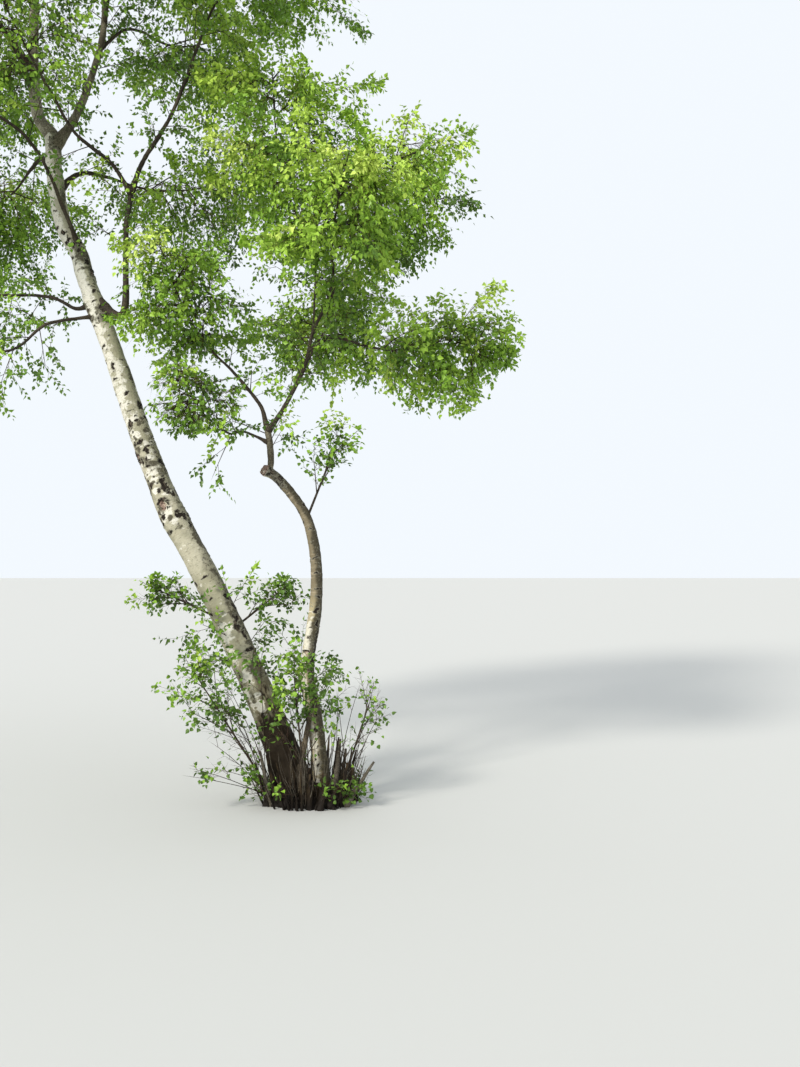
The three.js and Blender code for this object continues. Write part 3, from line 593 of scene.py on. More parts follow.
def add_bough(name, on, at, line, foot, tip):
    """A bough that leaves another limb, with a collar where it doesn't run on from the limb's tip."""
    add_limb(name, [limbs[on]["course"].point(at), *line], on=on, at=at, foot=foot, tip=tip)
    if at < 1:
        limbs[name]["collar"] = COLLAR["swell"]


def taper(limb, shares):
    """A limb's radius at shares of its length, without its collar or flare."""
    return limb["foot"] + (limb["tip"] - limb["foot"]) * shares


def sprout_for(mass):
    """Adds the bough from a limb to the near side of a mass's space, and gives its name."""
    parent = limbs[mass["on"]]
    name = mass["name"] + "_bough"
    start = mass["root"]
    towards_limb = start - mass["centre"]
    shares = np.linalg.norm(towards_limb / mass["reach"])
    entry = mass["centre"] + towards_limb * SPROUT["entry"] / shares
    lift = parent["course"].tangent(mass["at"]) * SPROUT["lift"] * np.linalg.norm(entry - start)
    line = [start + (entry - start) * s + lift * (1.5 - s) for s in (1 / 3, 2 / 3)]
    foot = min(SPROUT["foot"], SPROUT["limb_share"] * taper(parent, mass["at"]))
    add_bough(name, mass["on"], mass["at"], [*line, entry], foot, SPROUT["tip"])
    return name


for stem_name, stem in STEMS.items():
    add_limb(stem_name, **stem)
for bough_name, bough in BOUGHS.items():
    add_bough(bough_name, **bough)


def group_of(on):
    """The group of foliage that a mass on this limb belongs to."""
    while "on" in limbs[on]:
        on = limbs[on]["on"]
    return "second_crown" if on == "second_stem" else "main_crown"


masses = []


def add_mass(name, growth, group, on, at, centre, reach):
    """One mass. It keeps to an ellipsoid and grows on a limb, or a shoot of the stool on a point."""
    centre = np.array(centre, float)
    reach = np.array(reach, float)
    root = limbs[on]["course"].point(at) if on in limbs else np.array(on, float)
    thickness = min((reach.mean() / growth["full_size"]) ** 2, 1) if "full_size" in growth else 1
    mass = dict(
        name=name, growth=growth, group=group, on=on, at=at, centre=centre, reach=reach, seed=len(masses) + 1,
        root=root, stem_foot=growth["stem_foot"], shade=growth["shade"] + SHADE.get(name, 0),
        leafy=LEAFY.get(name, 1.0) * thickness, whips=WHIP_COUNTS.get(name, 0),
    )
    masses.append(mass)
    if growth is CROWN:
        mass["bough"] = on if at == 1 else sprout_for(mass)
        mass["stem_foot"] = limbs[mass["bough"]]["tip"]


for mass_name, row in CROWN_MASSES.items():
    add_mass(mass_name, CROWN, group_of(row[0]), *row)
for mass_name, row in SHOOTS.items():
    add_mass(mass_name, FOOT, "young_shoots", *row)


def limb_radius(limb, shares, centres, outward):
    """The plain radius of a limb: an even taper, with a collar or a lobed root flare at its foot."""
    if "flare" not in limb:
        along = shares * limb["course"].length
        return taper(limb, shares) * (1 + limb["collar"] * np.exp(-along / (COLLAR["reach"] * limb["foot"])))
    near_ground = limb["flare"] * np.exp(-np.maximum(centres[..., 2], 0) / limb["flare_height"])
    lobe = 1 + COLLAR["lobe"] * np.cos(limb["lobes"] * np.arctan2(outward[..., 1], outward[..., 0]))
    return taper(limb, shares) * (1 + near_ground * lobe)


def frames_along(centres):
    """For each centre of a limb, two directions across it: the first faces the viewer."""
    headings = unit(np.gradient(centres, axis=0))
    facing = TOWARDS_VIEWER
    if abs(headings[0] @ facing) > 0.9:
        facing = TO_THE_RIGHT
    fronts = []
    for heading in headings:
        facing = facing - heading * (facing @ heading)
        facing = facing / np.linalg.norm(facing)
        fronts.append(facing)
    fronts = np.array(fronts)
    return fronts, np.cross(headings, fronts)


def seeded_marks(random, count, heights, turns, high, wide, size):
    """Marks at random places, as rows of height, turn, half height and half width."""
    tall = size * (high[0] + high[1] * random.random(count))
    broad = size * (wide[0] + wide[1] * random.random(count))
    return list(zip(random.uniform(*heights, count), turns, tall, broad))


def marks_of(limb):
    """A stem's marks of each kind: those in its list, and seeded ones, most of them on its far side."""
    name = limb["name"]
    size = AGE[name]["marks"]
    random = np.random.default_rng(len(name))
    top = limb["course"].point(1)[2]
    marks = {}
    for kind, (count, high, wide) in MORE_MARKS.items():
        marks[kind] = list(MARKS[name][kind]) if name in MARKS else []
        if size:
            total = int(count * top * MM)
            turns = random.uniform(-1, 1, total)
            turns = 180 + turns * np.where(random.random(total) < SEEDED["anywhere"], 180, SEEDED["far_side"])
            span = (SEEDED["lowest"], SEEDED["highest"] * top)
            marks[kind] += seeded_marks(random, total, span, turns, high, wide, size)
        if name == "main_trunk":
            total, high, wide = MOTTLED[kind]
            turns = random.uniform(-180, 180, total)
            span = (MOTTLED["low"], MOTTLED["high"])
            marks[kind] += seeded_marks(random, total, span, turns, high, wide, size)
    return marks


def mark_field(rows, heights, angles, radius, ragged, droop=0.0):
    """How far inside the nearest of its marks each point of a stem is: 0 well outside, a half at the edge and
    1 inside. A mark's sides droop by a share of its height."""
    field = np.zeros_like(heights)
    for height, turn, high, wide in rows:
        turned = (angles - math.radians(turn) + math.pi) % FULL_TURN - math.pi
        side = turned * radius / wide
        up = (heights - height) / high + droop * side**2
        field = np.maximum(field, smooth_step(np.hypot(up, side) * ragged, 1.5, 0.5))
    return field


def joint_of(bough):
    """Where a bough comes out of its limb: the height and turn round the limb, and the length of the bough
    that is hidden."""
    parent = limbs[bough["on"]]
    shares = np.linspace(0, 1, 300)
    centres = parent["course"].even(shares)
    fronts, rights = frames_along(centres)
    points = bough["course"].even(np.linspace(0, 0.6, 80))
    gaps = np.linalg.norm(points[:, None] - centres, axis=-1)
    nearest = gaps.argmin(axis=1)
    out = np.argmax(gaps.min(axis=1) > 0.95 * taper(parent, shares)[nearest])
    ring = nearest[out]
    away = points[out] - centres[ring]
    turn = math.degrees(math.atan2(away @ rights[ring], away @ fronts[ring]))
    return centres[ring, 2], turn, np.linalg.norm(points[out] - points[0])


def marks_beside(rows, lift, high, wide):
    """Marks beside others, lifted, taller and broader by shares of the others' half height and half width."""
    return [(height + lift * tall, turn, high * tall, wide * broad) for height, turn, tall, broad in rows]


def steps_up(heights, steps):
    """How far a look has come in at each height, by steps of a share between two heights."""
    return sum(share * smooth_step(heights, low, high) for share, low, high in steps)


def mark_fields(limb, heights, angles, place, radius):
    """How strongly each kind of mark shows at each point of a stem, with a bent and ragged outline."""
    marks = marks_of(limb)
    bent = OUTLINE["along"] * layered_noise(place * 24, 2, seed=43)
    turned = OUTLINE["across"] * layered_noise(place * (24, 24, 30), 2, seed=45) / radius
    around = (heights + bent, angles + turned, radius)
    ragged = 1 + OUTLINE["ragged"] * layered_noise(place * (34, 34, 44), 3, seed=41)
    ragged = ragged + OUTLINE["streaked"] * layered_noise(place * (24, 24, 130), 2, seed=47)
    ragged = np.maximum(ragged, OUTLINE["least"])
    fields = {kind: mark_field(marks[kind], *around, ragged) for kind in ("black", "white", "grey", "scar")}
    fields["dash"] = mark_field(marks["dash"], *around, ragged, DROOP["dash"])
    brow = mark_field(marks_beside(marks["scar"], *BROW), *around, 1 + 0.3 * (ragged - 1), DROOP["brow"])
    rim = smooth_step(fields["scar"], 0.05, 0.3) * smooth_step(fields["scar"], 0.75, 0.45)
    fields["brow"] = np.maximum(brow, rim)
    joints = []
    for bough in limbs.values():
        if bough.get("on") == limb["name"] and bough["at"] < 1:
            height, turn, _ = joint_of(bough)
            joints.append((height, turn, bough["foot"], bough["foot"]))
    fields["chevron"] = mark_field(marks_beside(joints, *CHEVRON), *around, ragged, DROOP["chevron"])
    fields["swelling"] = mark_field(marks_beside(joints, *SWELLING), *around, 1)
    return fields


def stem_relief(limb, heights, angles, place, radius):
    """How far a stem's bark stands out, in millimetres, its marks (how rough with age, how black, and how
    grey, with the painted shade of its right side) and its tones (how white, with painted light on its left
    and front higher up, how brown as a scar's heart, and how weathered)."""

    def noise(scale, layers, seed):
        return layered_noise(place * scale, layers, seed)

    age = AGE[limb["name"]]
    top = age["rough_top"]
    rough = steps_up(heights, [(share, low * top, high * top) for share, low, high in ROUGH_STEPS])
    rough = np.clip(rough * (1 + 0.25 * noise(10, 2, seed=9)), 0, 1)
    # Broad swellings, the fissures of the foot, rings, and a fine and a broad grain
    relief = 0.035 * radius * layered_noise(place / 0.2, 2, seed=3)
    relief += rough**1.4 * age["ridges"] * (0.35 - np.abs(noise((46, 46, 8), 3, seed=11)))
    relief += 0.5 * noise((14, 14, 150), 2, seed=21)
    relief += 0.8 * noise(60, 2, seed=31) + 1.6 * noise((13, 13, 22), 2, seed=35)
    marks = mark_fields(limb, heights, angles, place, radius)
    black, heart = marks["black"], marks["scar"]
    relief += (
        STANDS_OUT["swelling"] * radius * marks["swelling"] + STANDS_OUT["brow"] * marks["brow"]
        + STANDS_OUT["heart"] * smooth_step(heart, 0.4, 1) + STANDS_OUT["dash"] * marks["dash"]
        + STANDS_OUT["white"] * marks["white"]
    )
    rim = smooth_step(black, 0.05, 0.3) * smooth_step(black, 0.6, 0.3)
    relief += STANDS_OUT["black_rim"] * rim + STANDS_OUT["black"] * smooth_step(black, 0.35, 0.8)
    dash, chevron = FAINTER["dash"] * marks["dash"], FAINTER["chevron"] * marks["chevron"]
    dark = np.maximum.reduce([black, marks["brow"], dash, chevron])
    # Painted shade, grey and speckled, darkens the side to the viewer's right, away from the sun. Higher up
    # the trunk that painted shade fades, and the bark's left and front grow whiter, with painted light.
    shaded = 0.5 + 0.5 * np.sin(angles + math.radians(4)) + 0.2 * noise((11, 11, 9), 3, seed=51)
    side = smooth_step(shaded + age["side"], 0.52, 1.1) * (1 - steps_up(heights, PAINTED_SHADE_FADING))
    pale = steps_up(heights, WHITER_WITH_PAINTED_LIGHT) * smooth_step(shaded, 0.8, 0.4)
    white = np.maximum(marks["white"], pale)
    grey_chevron = FAINTER["grey_chevron"] * smooth_step(marks["chevron"], 0, 0.5)
    grey = np.maximum.reduce([marks["grey"], side, grey_chevron])
    weathered = steps_up(heights + 60 * noise(9, 2, seed=55), [age["weathered"]])
    if limb["name"] == "main_trunk":
        leftward = 1 + BURL["lean"] * np.cos(angles + math.pi / 2)
        relief += BURL["height"] * leftward * np.exp(-(((heights - BURL["middle"]) / BURL["half"]) ** 2))
    else:
        add_torn_end(limb, relief, angles, place, radius)
        white[-TORN["pale"]:] = 1
        weathered[-TORN["pale"]:] = TORN["weathered"]
        heart[-TORN["heart"]:] = 1
    return relief, np.stack([rough, dark, grey], axis=-1), np.stack([white, heart, weathered], axis=-1)


def add_torn_end(limb, relief, angles, place, radius):
    """Tears the last rings of a stem's relief, and adds the knob below the second stem's."""
    if limb["name"] == "second_stem":
        inset = (1 - np.linspace(0, 1, len(radius))[:, None]) * limb["course"].length - KNOB["inset"]
        lumps = 1 + KNOB["lumps"] * layered_noise(place * 34, 2, seed=57)
        relief += KNOB["height"] * lumps * np.exp(-((inset / KNOB["half"]) ** 2))
    last = slice(-TORN["ragged"], None)
    depths = np.linspace(0, TORN["depth"], TORN["ragged"])[:, None]
    relief[last] -= depths * radius[last] * (1 + 0.5 * np.sin(TORN["teeth"] * angles[last]))


def bough_relief(limb, along, place, radius):
    """How far a bough's bark stands out: low swellings, rings and warts, and a collar where it leaves its
    limb."""
    relief = 0.09 * radius * layered_noise(place * (9, 9, 6), 2, seed=5)
    relief += 0.06 * radius * lattice_noise(place * (10, 10, 45), seed=15)
    relief += 0.35 * layered_noise(place * 90, 2, seed=25)
    if "on" in limb and limb["at"] < 1:
        collar = min(COLLAR["bark"] * limb["foot"], COLLAR["limb_bark"] * limbs[limb["on"]]["tip"])
        if limb["name"] == "second_leader":
            collar = -SLIM_LEADER * limb["foot"]
        hidden = joint_of(limb)[2]
        relief += collar * np.exp(-np.maximum(along - hidden, 0) / (COLLAR["short"] * limb["foot"]))
    elif "on" in limb:
        wider = limbs[limb["on"]]["tip"] - limb["foot"]
        relief += wider * np.exp(-along / (COLLAR["reach"] * limb["foot"]))
    return relief


def kinked(centres, shares, foot):
    """The centres of a bough with small kinks, which die away at its ends."""
    cells = centres / (KINKS["spacing"] * foot)
    kinks = np.stack([lattice_noise(cells, seed=seed) for seed in (91, 92, 93)], axis=-1)
    return centres + KINKS["depth"] * foot * kinks * np.sin(math.pi * shares)[:, None]


def ring_faces(rings, sides):
    """The quads between rings of points, as rows of corners."""
    ring, side = np.meshgrid(np.arange(rings - 1), np.arange(sides), indexing="ij")
    here = ring * sides + side
    beside = ring * sides + (side + 1) % sides
    return np.stack([here, beside, beside + sides, here + sides], axis=-1).reshape(-1, 4)


def mesh_from(name, points, faces, attributes=()):
    """A mesh piece from points in millimetres and faces that all have the same number of corners."""
    mesh = bpy.data.meshes.new(name)
    corners = faces.shape[1]
    mesh.vertices.add(len(points))
    mesh.vertices.foreach_set("co", (np.asarray(points) * MM).astype(np.float32).ravel())
    mesh.loops.add(faces.size)
    mesh.loops.foreach_set("vertex_index", faces.astype(np.int32).ravel())
    mesh.polygons.add(len(faces))
    mesh.polygons.foreach_set("loop_start", np.arange(0, faces.size, corners, dtype=np.int32))
    mesh.update(calc_edges=True)
    for key, values in dict(attributes).items():
        made = mesh.attributes.new(key, "FLOAT_VECTOR", "POINT")
        made.data.foreach_set("vector", np.asarray(values, np.float32).ravel())
    piece = bpy.data.objects.new(name, mesh)
    bpy.context.scene.collection.objects.link(piece)
    return piece


def cut_and_cap(piece, at_ground):
    """Closes a tube's open ends, after cutting it off flat at the ground where it runs below."""
    form = bmesh.new()
    form.from_mesh(piece.data)
    if at_ground:
        everything = [*form.verts, *form.edges, *form.faces]
        bmesh.ops.bisect_plane(form, geom=everything, plane_co=(0, 0, 0), plane_no=UP, clear_inner=True)
    open_edges = [edge for edge in form.edges if edge.is_boundary]
    bmesh.ops.holes_fill(form, edges=open_edges, sides=0)
    form.to_mesh(piece.data)
    form.free()


def dress(piece, material, slot_name, *nodes, smooth=True):
    """Gives a piece its material and its smooth or flat faces, sets it under the root body, and hides the
    nodes of the solids that it stands for. slot_name is not used.
    """
    piece.data.materials.append(material)
    piece.data.polygons.foreach_set("use_smooth", np.full(len(piece.data.polygons), smooth))
    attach(piece, "root")
    if nodes:
        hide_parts(*nodes)


def bark_points(limb, sides, ring):
    """The points and faces of a limb's bark, and a stem's attributes: where each point is round and along the
    bark, in metres, its marks and its tones."""
    course = limb["course"]
    rings = max(int(course.length / ring), 8)
    shares = np.linspace(0, 1, rings + 1)
    is_stem = "flare" in limb
    centres = course.even(shares)
    if not is_stem:
        centres = kinked(centres, shares, limb["foot"])
    fronts, rights = frames_along(centres)
    angles = np.arange(sides) * FULL_TURN / sides
    cosines, sines = np.cos(angles)[None, :, None], np.sin(angles)[None, :, None]
    outward = cosines * fronts[:, None] + sines * rights[:, None]
    centres = np.repeat(centres[:, None], sides, axis=1)
    angles = np.broadcast_to(angles, centres.shape[:2])
    along = np.broadcast_to(shares[:, None] * course.length, centres.shape[:2])
    radius = limb_radius(limb, shares[:, None], centres, outward)
    middle = (limb["foot"] + limb["tip"]) / 2
    place = np.stack([middle * np.cos(angles), middle * np.sin(angles), along], axis=-1) * MM
    attributes = {}
    if is_stem:
        relief, marks, tones = stem_relief(limb, centres[..., 2], angles, place, radius)
        attributes = dict(bark_place=place, bark_marks=marks, bark_tones=tones)
    else:
        relief = bough_relief(limb, along, place, radius)
    points = centres + outward * (radius + relief)[..., None]
    return points.reshape(-1, 3), ring_faces(rings + 1, sides), attributes


def room_along(points, directions, mass):
    """How far rays from points run before they leave a mass's reach."""
    p = (points - mass["centre"]) / mass["reach"]
    d = directions / mass["reach"]
    a = np.sum(d * d, axis=-1)
    b = np.sum(p * d, axis=-1)
    c = np.sum(p * p, axis=-1) - 1
    return (-b + np.sqrt(np.maximum(b * b - a * c, 0))) / a


def share_of_reach(points, mass):
    """How far points are from a mass's centre, as a share of its reach."""
    return np.linalg.norm((points - mass["centre"]) / mass["reach"], axis=-1)


def within_box(points):
    """Which points are inside the box of the solids."""
    return ((points > lowest_corner) & (points < highest_corner)).all(axis=-1)


def keeps_to(points, mass, margin=-0.04, limit=1.0):
    """Which points keep to a mass's space: within reach, and nearer to it than to any other mass."""
    own = share_of_reach(points, mass)
    kept = (own <= limit) & (points[..., 2] >= LEAST_HEIGHT) & within_box(points)
    for other in masses:
        if other is not mass:
            kept &= own < share_of_reach(points, other) - margin
    return kept


def beads_near(mass, spacing=25):
    """Points along the limbs that pass through a mass's space, and the limbs' radii there."""
    beads = []
    for limb in limbs.values():
        shares = np.linspace(0, 1, int(limb["course"].length / spacing) + 2)
        beads.append(np.column_stack([limb["course"].even(shares), taper(limb, shares)]))
    beads = np.vstack(beads)
    return beads[share_of_reach(beads[:, :3], mass) < 1.2]


def clear_of_limbs(points, beads, clearance):
    """Which points stand clear of the limbs by more than the clearance."""
    if not len(beads):
        return np.ones(points.shape[:-1], bool)
    gaps = np.linalg.norm(points[..., None, :] - beads[:, :3], axis=-1) - beads[:, 3]
    return gaps.min(axis=-1) > clearance


def stream(seed):
    """Random numbers from 0 to 1, the same on every run."""
    state = seed % 2**32
    count = 0
    while True:
        state = (state * 1664525 + 1013904223) % 2**32
        count += 1
        if count > 4:
            yield state / 2**32


def turned_from(headings, angles, around):
    """Directions at an angle to headings (..., 3), turned round them by a second angle."""
    side = np.cross(headings, UP)
    steep = np.linalg.norm(side, axis=-1, keepdims=True) < 0.05
    side = unit(np.where(steep, (1.0, 0.0, 0.0), side))
    over = unit(np.cross(side, headings))
    angles = np.asarray(angles, float)[..., None]
    around = np.asarray(around, float)[..., None]
    across = side * np.cos(around) + over * np.sin(around)
    return unit(headings * np.cos(angles) + across * np.sin(angles))


def arc_points(arcs, t):
    """Points at shares t of arcs (n, 3, 3), each a start, a bend and an end."""
    t = np.asarray(t, float)[..., None]
    start, bend, end = np.moveaxis(arcs[:, None], 2, 0)
    return (1 - t) ** 2 * start + 2 * t * (1 - t) * bend + t * t * end


def arc_headings(arcs, t):
    """The headings at shares t of arcs."""
    t = np.asarray(t, float)[..., None]
    start, bend, end = np.moveaxis(arcs[:, None], 2, 0)
    return unit((1 - t) * (bend - start) + t * (end - bend))


def bow_of(sag):
    """How far an arc's bend stands above its chord, as a share of its length, where its tip sags."""
    return 0.03 + 0.25 * sag


def arcs_from(feet, directions, lengths, sag):
    """Arcs that leave their feet in a direction, a little bowed, with a tip that sags."""
    lengths = np.asarray(lengths)[..., None]
    tips = feet + directions * lengths - UP * sag * lengths
    return np.stack([feet, (feet + tips) / 2 + UP * bow_of(sag) * lengths, tips], axis=-2)


def straight(arcs):
    """Arcs without their bow."""
    return np.stack([arcs[:, 0], (arcs[:, 0] + arcs[:, 2]) / 2, arcs[:, 2]], axis=1)


def stem_of(mass):
    """The stem of a mass: it runs on from its bough's tip, or a shoot's from its root."""
    centre = mass["centre"]
    if "bough" not in mass:
        start = mass["root"]
        heading = unit(centre - start)
        return Arc(start, centre, start + heading * RULE["stem_share"] * room_along(start, heading, mass))
    course = limbs[mass["bough"]]["course"]
    tangent = course.tangent(1)
    start = course.point(1) + tangent * SEAT_GAP
    heading = unit(centre - start)
    across = RULE["stem_share"] * room_along(start, heading, mass)
    return Arc(start, start + tangent * across / 3, start + heading * across)


def filled(points, mass, limit):
    """Which points the fine growth of a mass fills: up to a ragged limit, and not in its gaps."""
    towards = unit((points - mass["centre"]) / mass["reach"])
    swing = layered_noise(RAGGED["detail"] * towards + mass["seed"], 2, seed=87)
    kept = keeps_to(points, mass, limit=np.minimum(limit * (RAGGED["least"] + RAGGED["swing"] * swing), 1))
    return kept & (lattice_noise(points / RAGGED["gap_size"], seed=83) > RAGGED["gap_share"])


def fitting(feet, directions, lengths, sag, mass, limit):
    """Arcs at the longest of the tried shares of their length that keep to their mass and clear of the
    limbs, and which of them fit at all."""
    chosen = np.zeros(lengths.shape)
    for share in SPRAY["tries"]:
        trial = arcs_from(feet, directions, lengths * share, sag)
        middles = trial.mean(axis=1)
        fits = filled(trial[:, 2], mass, limit) & keeps_to(middles, mass)
        fits &= clear_of_limbs(trial[:, 2], mass["beads"], CLEAR["tip"])
        fits &= clear_of_limbs(middles, mass["beads"], CLEAR["middle"])
        chosen = np.where((chosen == 0) & fits, share, chosen)
    return arcs_from(feet, directions, lengths * chosen, sag), chosen > 0


def twig_on(stem, mass, random, number, count, around):
    """One twig on a mass's stem: its foot, direction and length."""
    growth = mass["growth"]
    at = RULE["first_twig"] + RULE["twig_span"] * (number + 0.5) / count
    around = around + RULE["round_jitter"] * next(random)
    angle = math.radians(growth["spread"]) * (RULE["open_foot"] - RULE["open_tip"] * at)
    direction = turned_from(stem.tangent(at), angle, around)
    foot = stem.point(at)
    room = room_along(foot, direction, mass)
    least, spread = RULE["twig_scale"]
    length = max(RULE["least_twig"] * room, room - mass["spray"]) * (least + spread * next(random))
    return foot, direction, length


def spray_on(foot, heading, at_tip, around, mass, random):
    """One spray: its foot, direction, sideways direction and length, or none where it doesn't fit."""
    growth = mass["growth"]
    direction = turned_from(heading, SPRAY["tip_angle"] if at_tip else SPRAY["side_angle"], around)
    direction = unit(direction - UP * growth["droop"])
    least, spread = SPRAY["tilt"]
    tilt = turned_from(UP.copy(), least + spread * next(random), FULL_TURN * next(random))
    across = unit(np.cross(direction, tilt))
    least, spread = SPRAY["scale"]
    full_length = mass["spray"] * (least + spread * next(random))
    for share in SPRAY["tries"]:
        length = share * full_length
        side = across * growth["width"] * length / 2
        middle = foot + direction * SPRAY["widest"] * length
        outline = np.array([foot + direction * length, middle + side, middle - side])
        if keeps_to(outline, mass, RULE["margin"]).all():
            return [(foot, direction, across, length)]
    return []


def twigs_and_sprays(mass, stem):
    """The twigs and sprays of the solids, by the same rule and from the same seeds."""
    growth = mass["growth"]
    twigs = []
    sprays = []
    for i in range(growth["twigs"]):
        random = stream(mass["seed"] * 1000 + i)
        foot, direction, length = twig_on(stem, mass, random, i, growth["twigs"], i * GOLDEN_ANGLE)
        twig = direction * length - UP * growth["sag"] * length
        if not keeps_to(foot + np.outer((0.35, 0.7, 1), twig), mass, RULE["margin"]).all():
            continue
        twigs.append((foot, direction, length))
        for j in range(1, growth["sprays"] + 1):
            share = j / (growth["sprays"] + SPRAY["twig_share"])
            around = (j + i) * math.pi + SPRAY["round_jitter"] * next(random)
            lift = UP * 2 * share * (1 - share) * bow_of(growth["sag"]) * length
            for place, *rest in spray_on(foot + twig * share, unit(twig), False, around, mass, random):
                sprays.append((place + lift, *rest))
        around = FULL_TURN * next(random)
        sprays += spray_on(foot + twig * SPRAY["tip_seat"], unit(twig), True, around, mass, random)
    random = stream(mass["seed"] * 1000 + growth["twigs"])
    sprays += spray_on(stem.point(SPRAY["tip_seat"]), stem.tangent(1), True, 0, mass, random)
    return twigs, sprays


def fine_twigs_of(mass, stem):
    """Finer twigs on the stem, between those of the solids."""
    count = mass["growth"]["fine_twigs"]
    rows = []
    for i in range(count):
        random = stream(mass["seed"] * 1000 + 100 + i)
        rows.append(twig_on(stem, mass, random, i, count, (i + 0.5) * GOLDEN_ANGLE + math.pi / 2))
    return rows


def whips_of(mass, random):
    """Thin stems that rise beside a young shoot's own, nearly together."""
    count = mass["whips"]
    feet = mass["root"] + random.uniform(-1, 1, (count, 3)) * WHIPS["spread"]
    ends = mass["centre"] + mass["reach"] * random.uniform(WHIPS["low_end"], WHIPS["high_end"], (count, 3))
    arcs = np.stack([feet, feet + (ends - feet) * WHIPS["steep"], ends], axis=1)
    kept = keeps_to(ends, mass)
    for t in (0.4, 0.7, 1):
        kept &= clear_of_limbs(arc_points(arcs, np.array([[t]]))[:, 0], mass["beads"], CLEAR["whip"])
    return arcs[kept]


def twiglets_on_sprays(sprays, mass, random):
    """Twiglets beside a spray's shoot, out to the spray's outline, and the number of the spray of each."""
    rule = SPRAY_TWIGLETS
    growth = mass["growth"]
    count = growth["spray_twiglets"]
    feet, directions, across, lengths = (np.repeat(column, count, axis=0) for column in columns(sprays))
    owners = np.repeat(np.arange(len(sprays)), count)
    number = np.tile(np.arange(count), len(sprays))
    places = rule["first"] + rule["span"] * (number + random.random(len(number))) / count
    level = np.minimum(places + rule["ahead"], 1)
    widest = SPRAY["widest"]
    half_width = growth["width"] / 2 * np.where(level < widest, level / widest, (1 - level) / (1 - widest))
    angle = random.uniform(*rule["angle"], len(number))
    turn = random.normal(0, rule["turn"], len(number)) + math.pi * (number % 2)
    sideways = across * np.cos(turn)[:, None] + np.cross(across, directions) * np.sin(turn)[:, None]
    headings = directions * np.cos(angle)[:, None] + sideways * np.sin(angle)[:, None] - UP * rule["droop"]
    reach = (half_width + rule["beyond"]) * lengths * random.uniform(*rule["length"], len(number))
    bow = UP * (rule["bow"] * places * (1 - places) * lengths)[:, None]
    starts = feet + directions * (places * lengths)[:, None] + bow
    arcs = arcs_from(starts, unit(headings), reach / np.sin(angle), rule["sag"])
    kept = keeps_to(arcs[:, 2], mass, limit=rule["limit"])
    kept &= clear_of_limbs(arcs[:, 2], mass["beads"], CLEAR["twiglet"])
    return arcs[kept], owners[kept]


def branch_from(arcs, mass, random, kind, first, limit):
    """Side branches, shoots or twiglets by kind, spaced along arcs and turned round them by the golden angle.
    Gives the branches and the number of the arc that each stands on."""
    growth = mass["growth"]
    count = growth[kind + "s"]
    least, spread = growth[kind + "_scale"]
    places = first + (BRANCHES["last"] - first) * (np.arange(count) + 0.5) / count
    moved = random.uniform(-BRANCHES["moved"], BRANCHES["moved"], (len(arcs), count))
    places = np.broadcast_to(places, (len(arcs), count)) + moved
    owners = np.repeat(np.arange(len(arcs)), count)
    feet = arc_points(arcs, places).reshape(-1, 3)
    headings = arc_headings(arcs, places).reshape(-1, 3)
    around = np.arange(len(owners)) * GOLDEN_ANGLE + random.uniform(0, BRANCHES["turned"], len(owners))
    angles = growth[kind + "_angle"] * random.uniform(*BRANCHES["angle"], len(owners))
    directions = unit(turned_from(headings, angles, around) - UP * growth["droop"])
    lengths = mass["spray"] * (least + spread * random.random(len(owners)))
    grown, fits = fitting(feet, directions, lengths, BRANCHES["sag"] * growth["droop"], mass, limit)
    return grown[fits], owners[fits]


def leaves_on(arcs, owners, mass, random, kind):
    """Leaves spaced along shoots or twiglets on alternate sides, with one at each tip: their feet,
    directions, faces, lengths and owners."""
    rule = LEAF_STAND
    growth = mass["growth"]
    count = growth[kind + "_leaves"]
    first = rule["on_" + kind]
    places = first + (1 - first) * (np.arange(count) + 1) / count
    places = np.broadcast_to(places, (len(arcs), count))
    total = places.size
    feet = arc_points(arcs, places).reshape(-1, 3)
    headings = arc_headings(arcs, places).reshape(-1, 3)
    at_tip = (places >= 1).ravel()
    angles = np.where(at_tip, rule["tip_angle"], rule["side_angle"])
    angles = angles * random.uniform(*rule["angle_spread"], total)
    sides = np.tile(np.arange(count), len(arcs)) * math.pi
    sides = sides + np.repeat(random.uniform(0, rule["round"], len(arcs)), count)
    sides = sides + random.uniform(-rule["turned"], rule["turned"], total)
    directions = turned_from(headings, angles, sides)
    directions = unit(directions - UP * random.uniform(*growth["hang"], total)[:, None])
    outward = unit(feet - mass["centre"])
    uneven = random.normal(0, rule["uneven"], (total, 3))
    faces = UP * rule["upward"] + outward * rule["outward"] + uneven
    lengths = growth["leaf_length"] * random.uniform(*rule["size"], total)
    lengths = lengths * np.where(at_tip, rule["tip_size"], 1)
    feet = feet + directions * rule["stalk"]
    tips = feet + directions * lengths[:, None]
    kept = (share_of_reach(tips, mass) < rule["beyond"]) & (tips[:, 2] > LEAST_HEIGHT) & within_box(tips)
    bottom, top = BARE_STRETCH.get(mass["name"], (0, 0))
    bare = (feet[:, 2] > bottom) & (feet[:, 2] < top)
    kept &= random.random(total) < mass["leafy"] * np.where(bare, BARE_SHARE, 1)
    kept &= clear_of_limbs(tips, mass["beads"], CLEAR["leaf_tip"])
    kept &= clear_of_limbs(feet, mass["beads"], CLEAR["leaf_foot"])
    owners = np.repeat(owners, count)
    return tuple(column[kept] for column in (feet, directions, faces, lengths, owners))


def tints_of(arcs, mass, random):
    """The tint of each shoot's leaves: lightest on the top and outside of a mass, and towards the sun."""
    rule = LIGHT_ON_LEAVES
    middles = (arc_points(arcs, np.array([[rule["at"]]]))[:, 0] - mass["centre"]) / mass["reach"]
    right, back, up = middles.T
    lit = rule["even"] + rule["up"] * up + rule["right"] * right + rule["back"] * back
    lit += rule["out"] * (np.linalg.norm(middles, axis=-1) - rule["out_from"])
    lit -= mass["shade"]
    lit += random.normal(0, rule["differs"], len(arcs))
    return np.clip((5 * (1 - lit)).astype(int), 0, len(LEAF_TINTS) - 1)


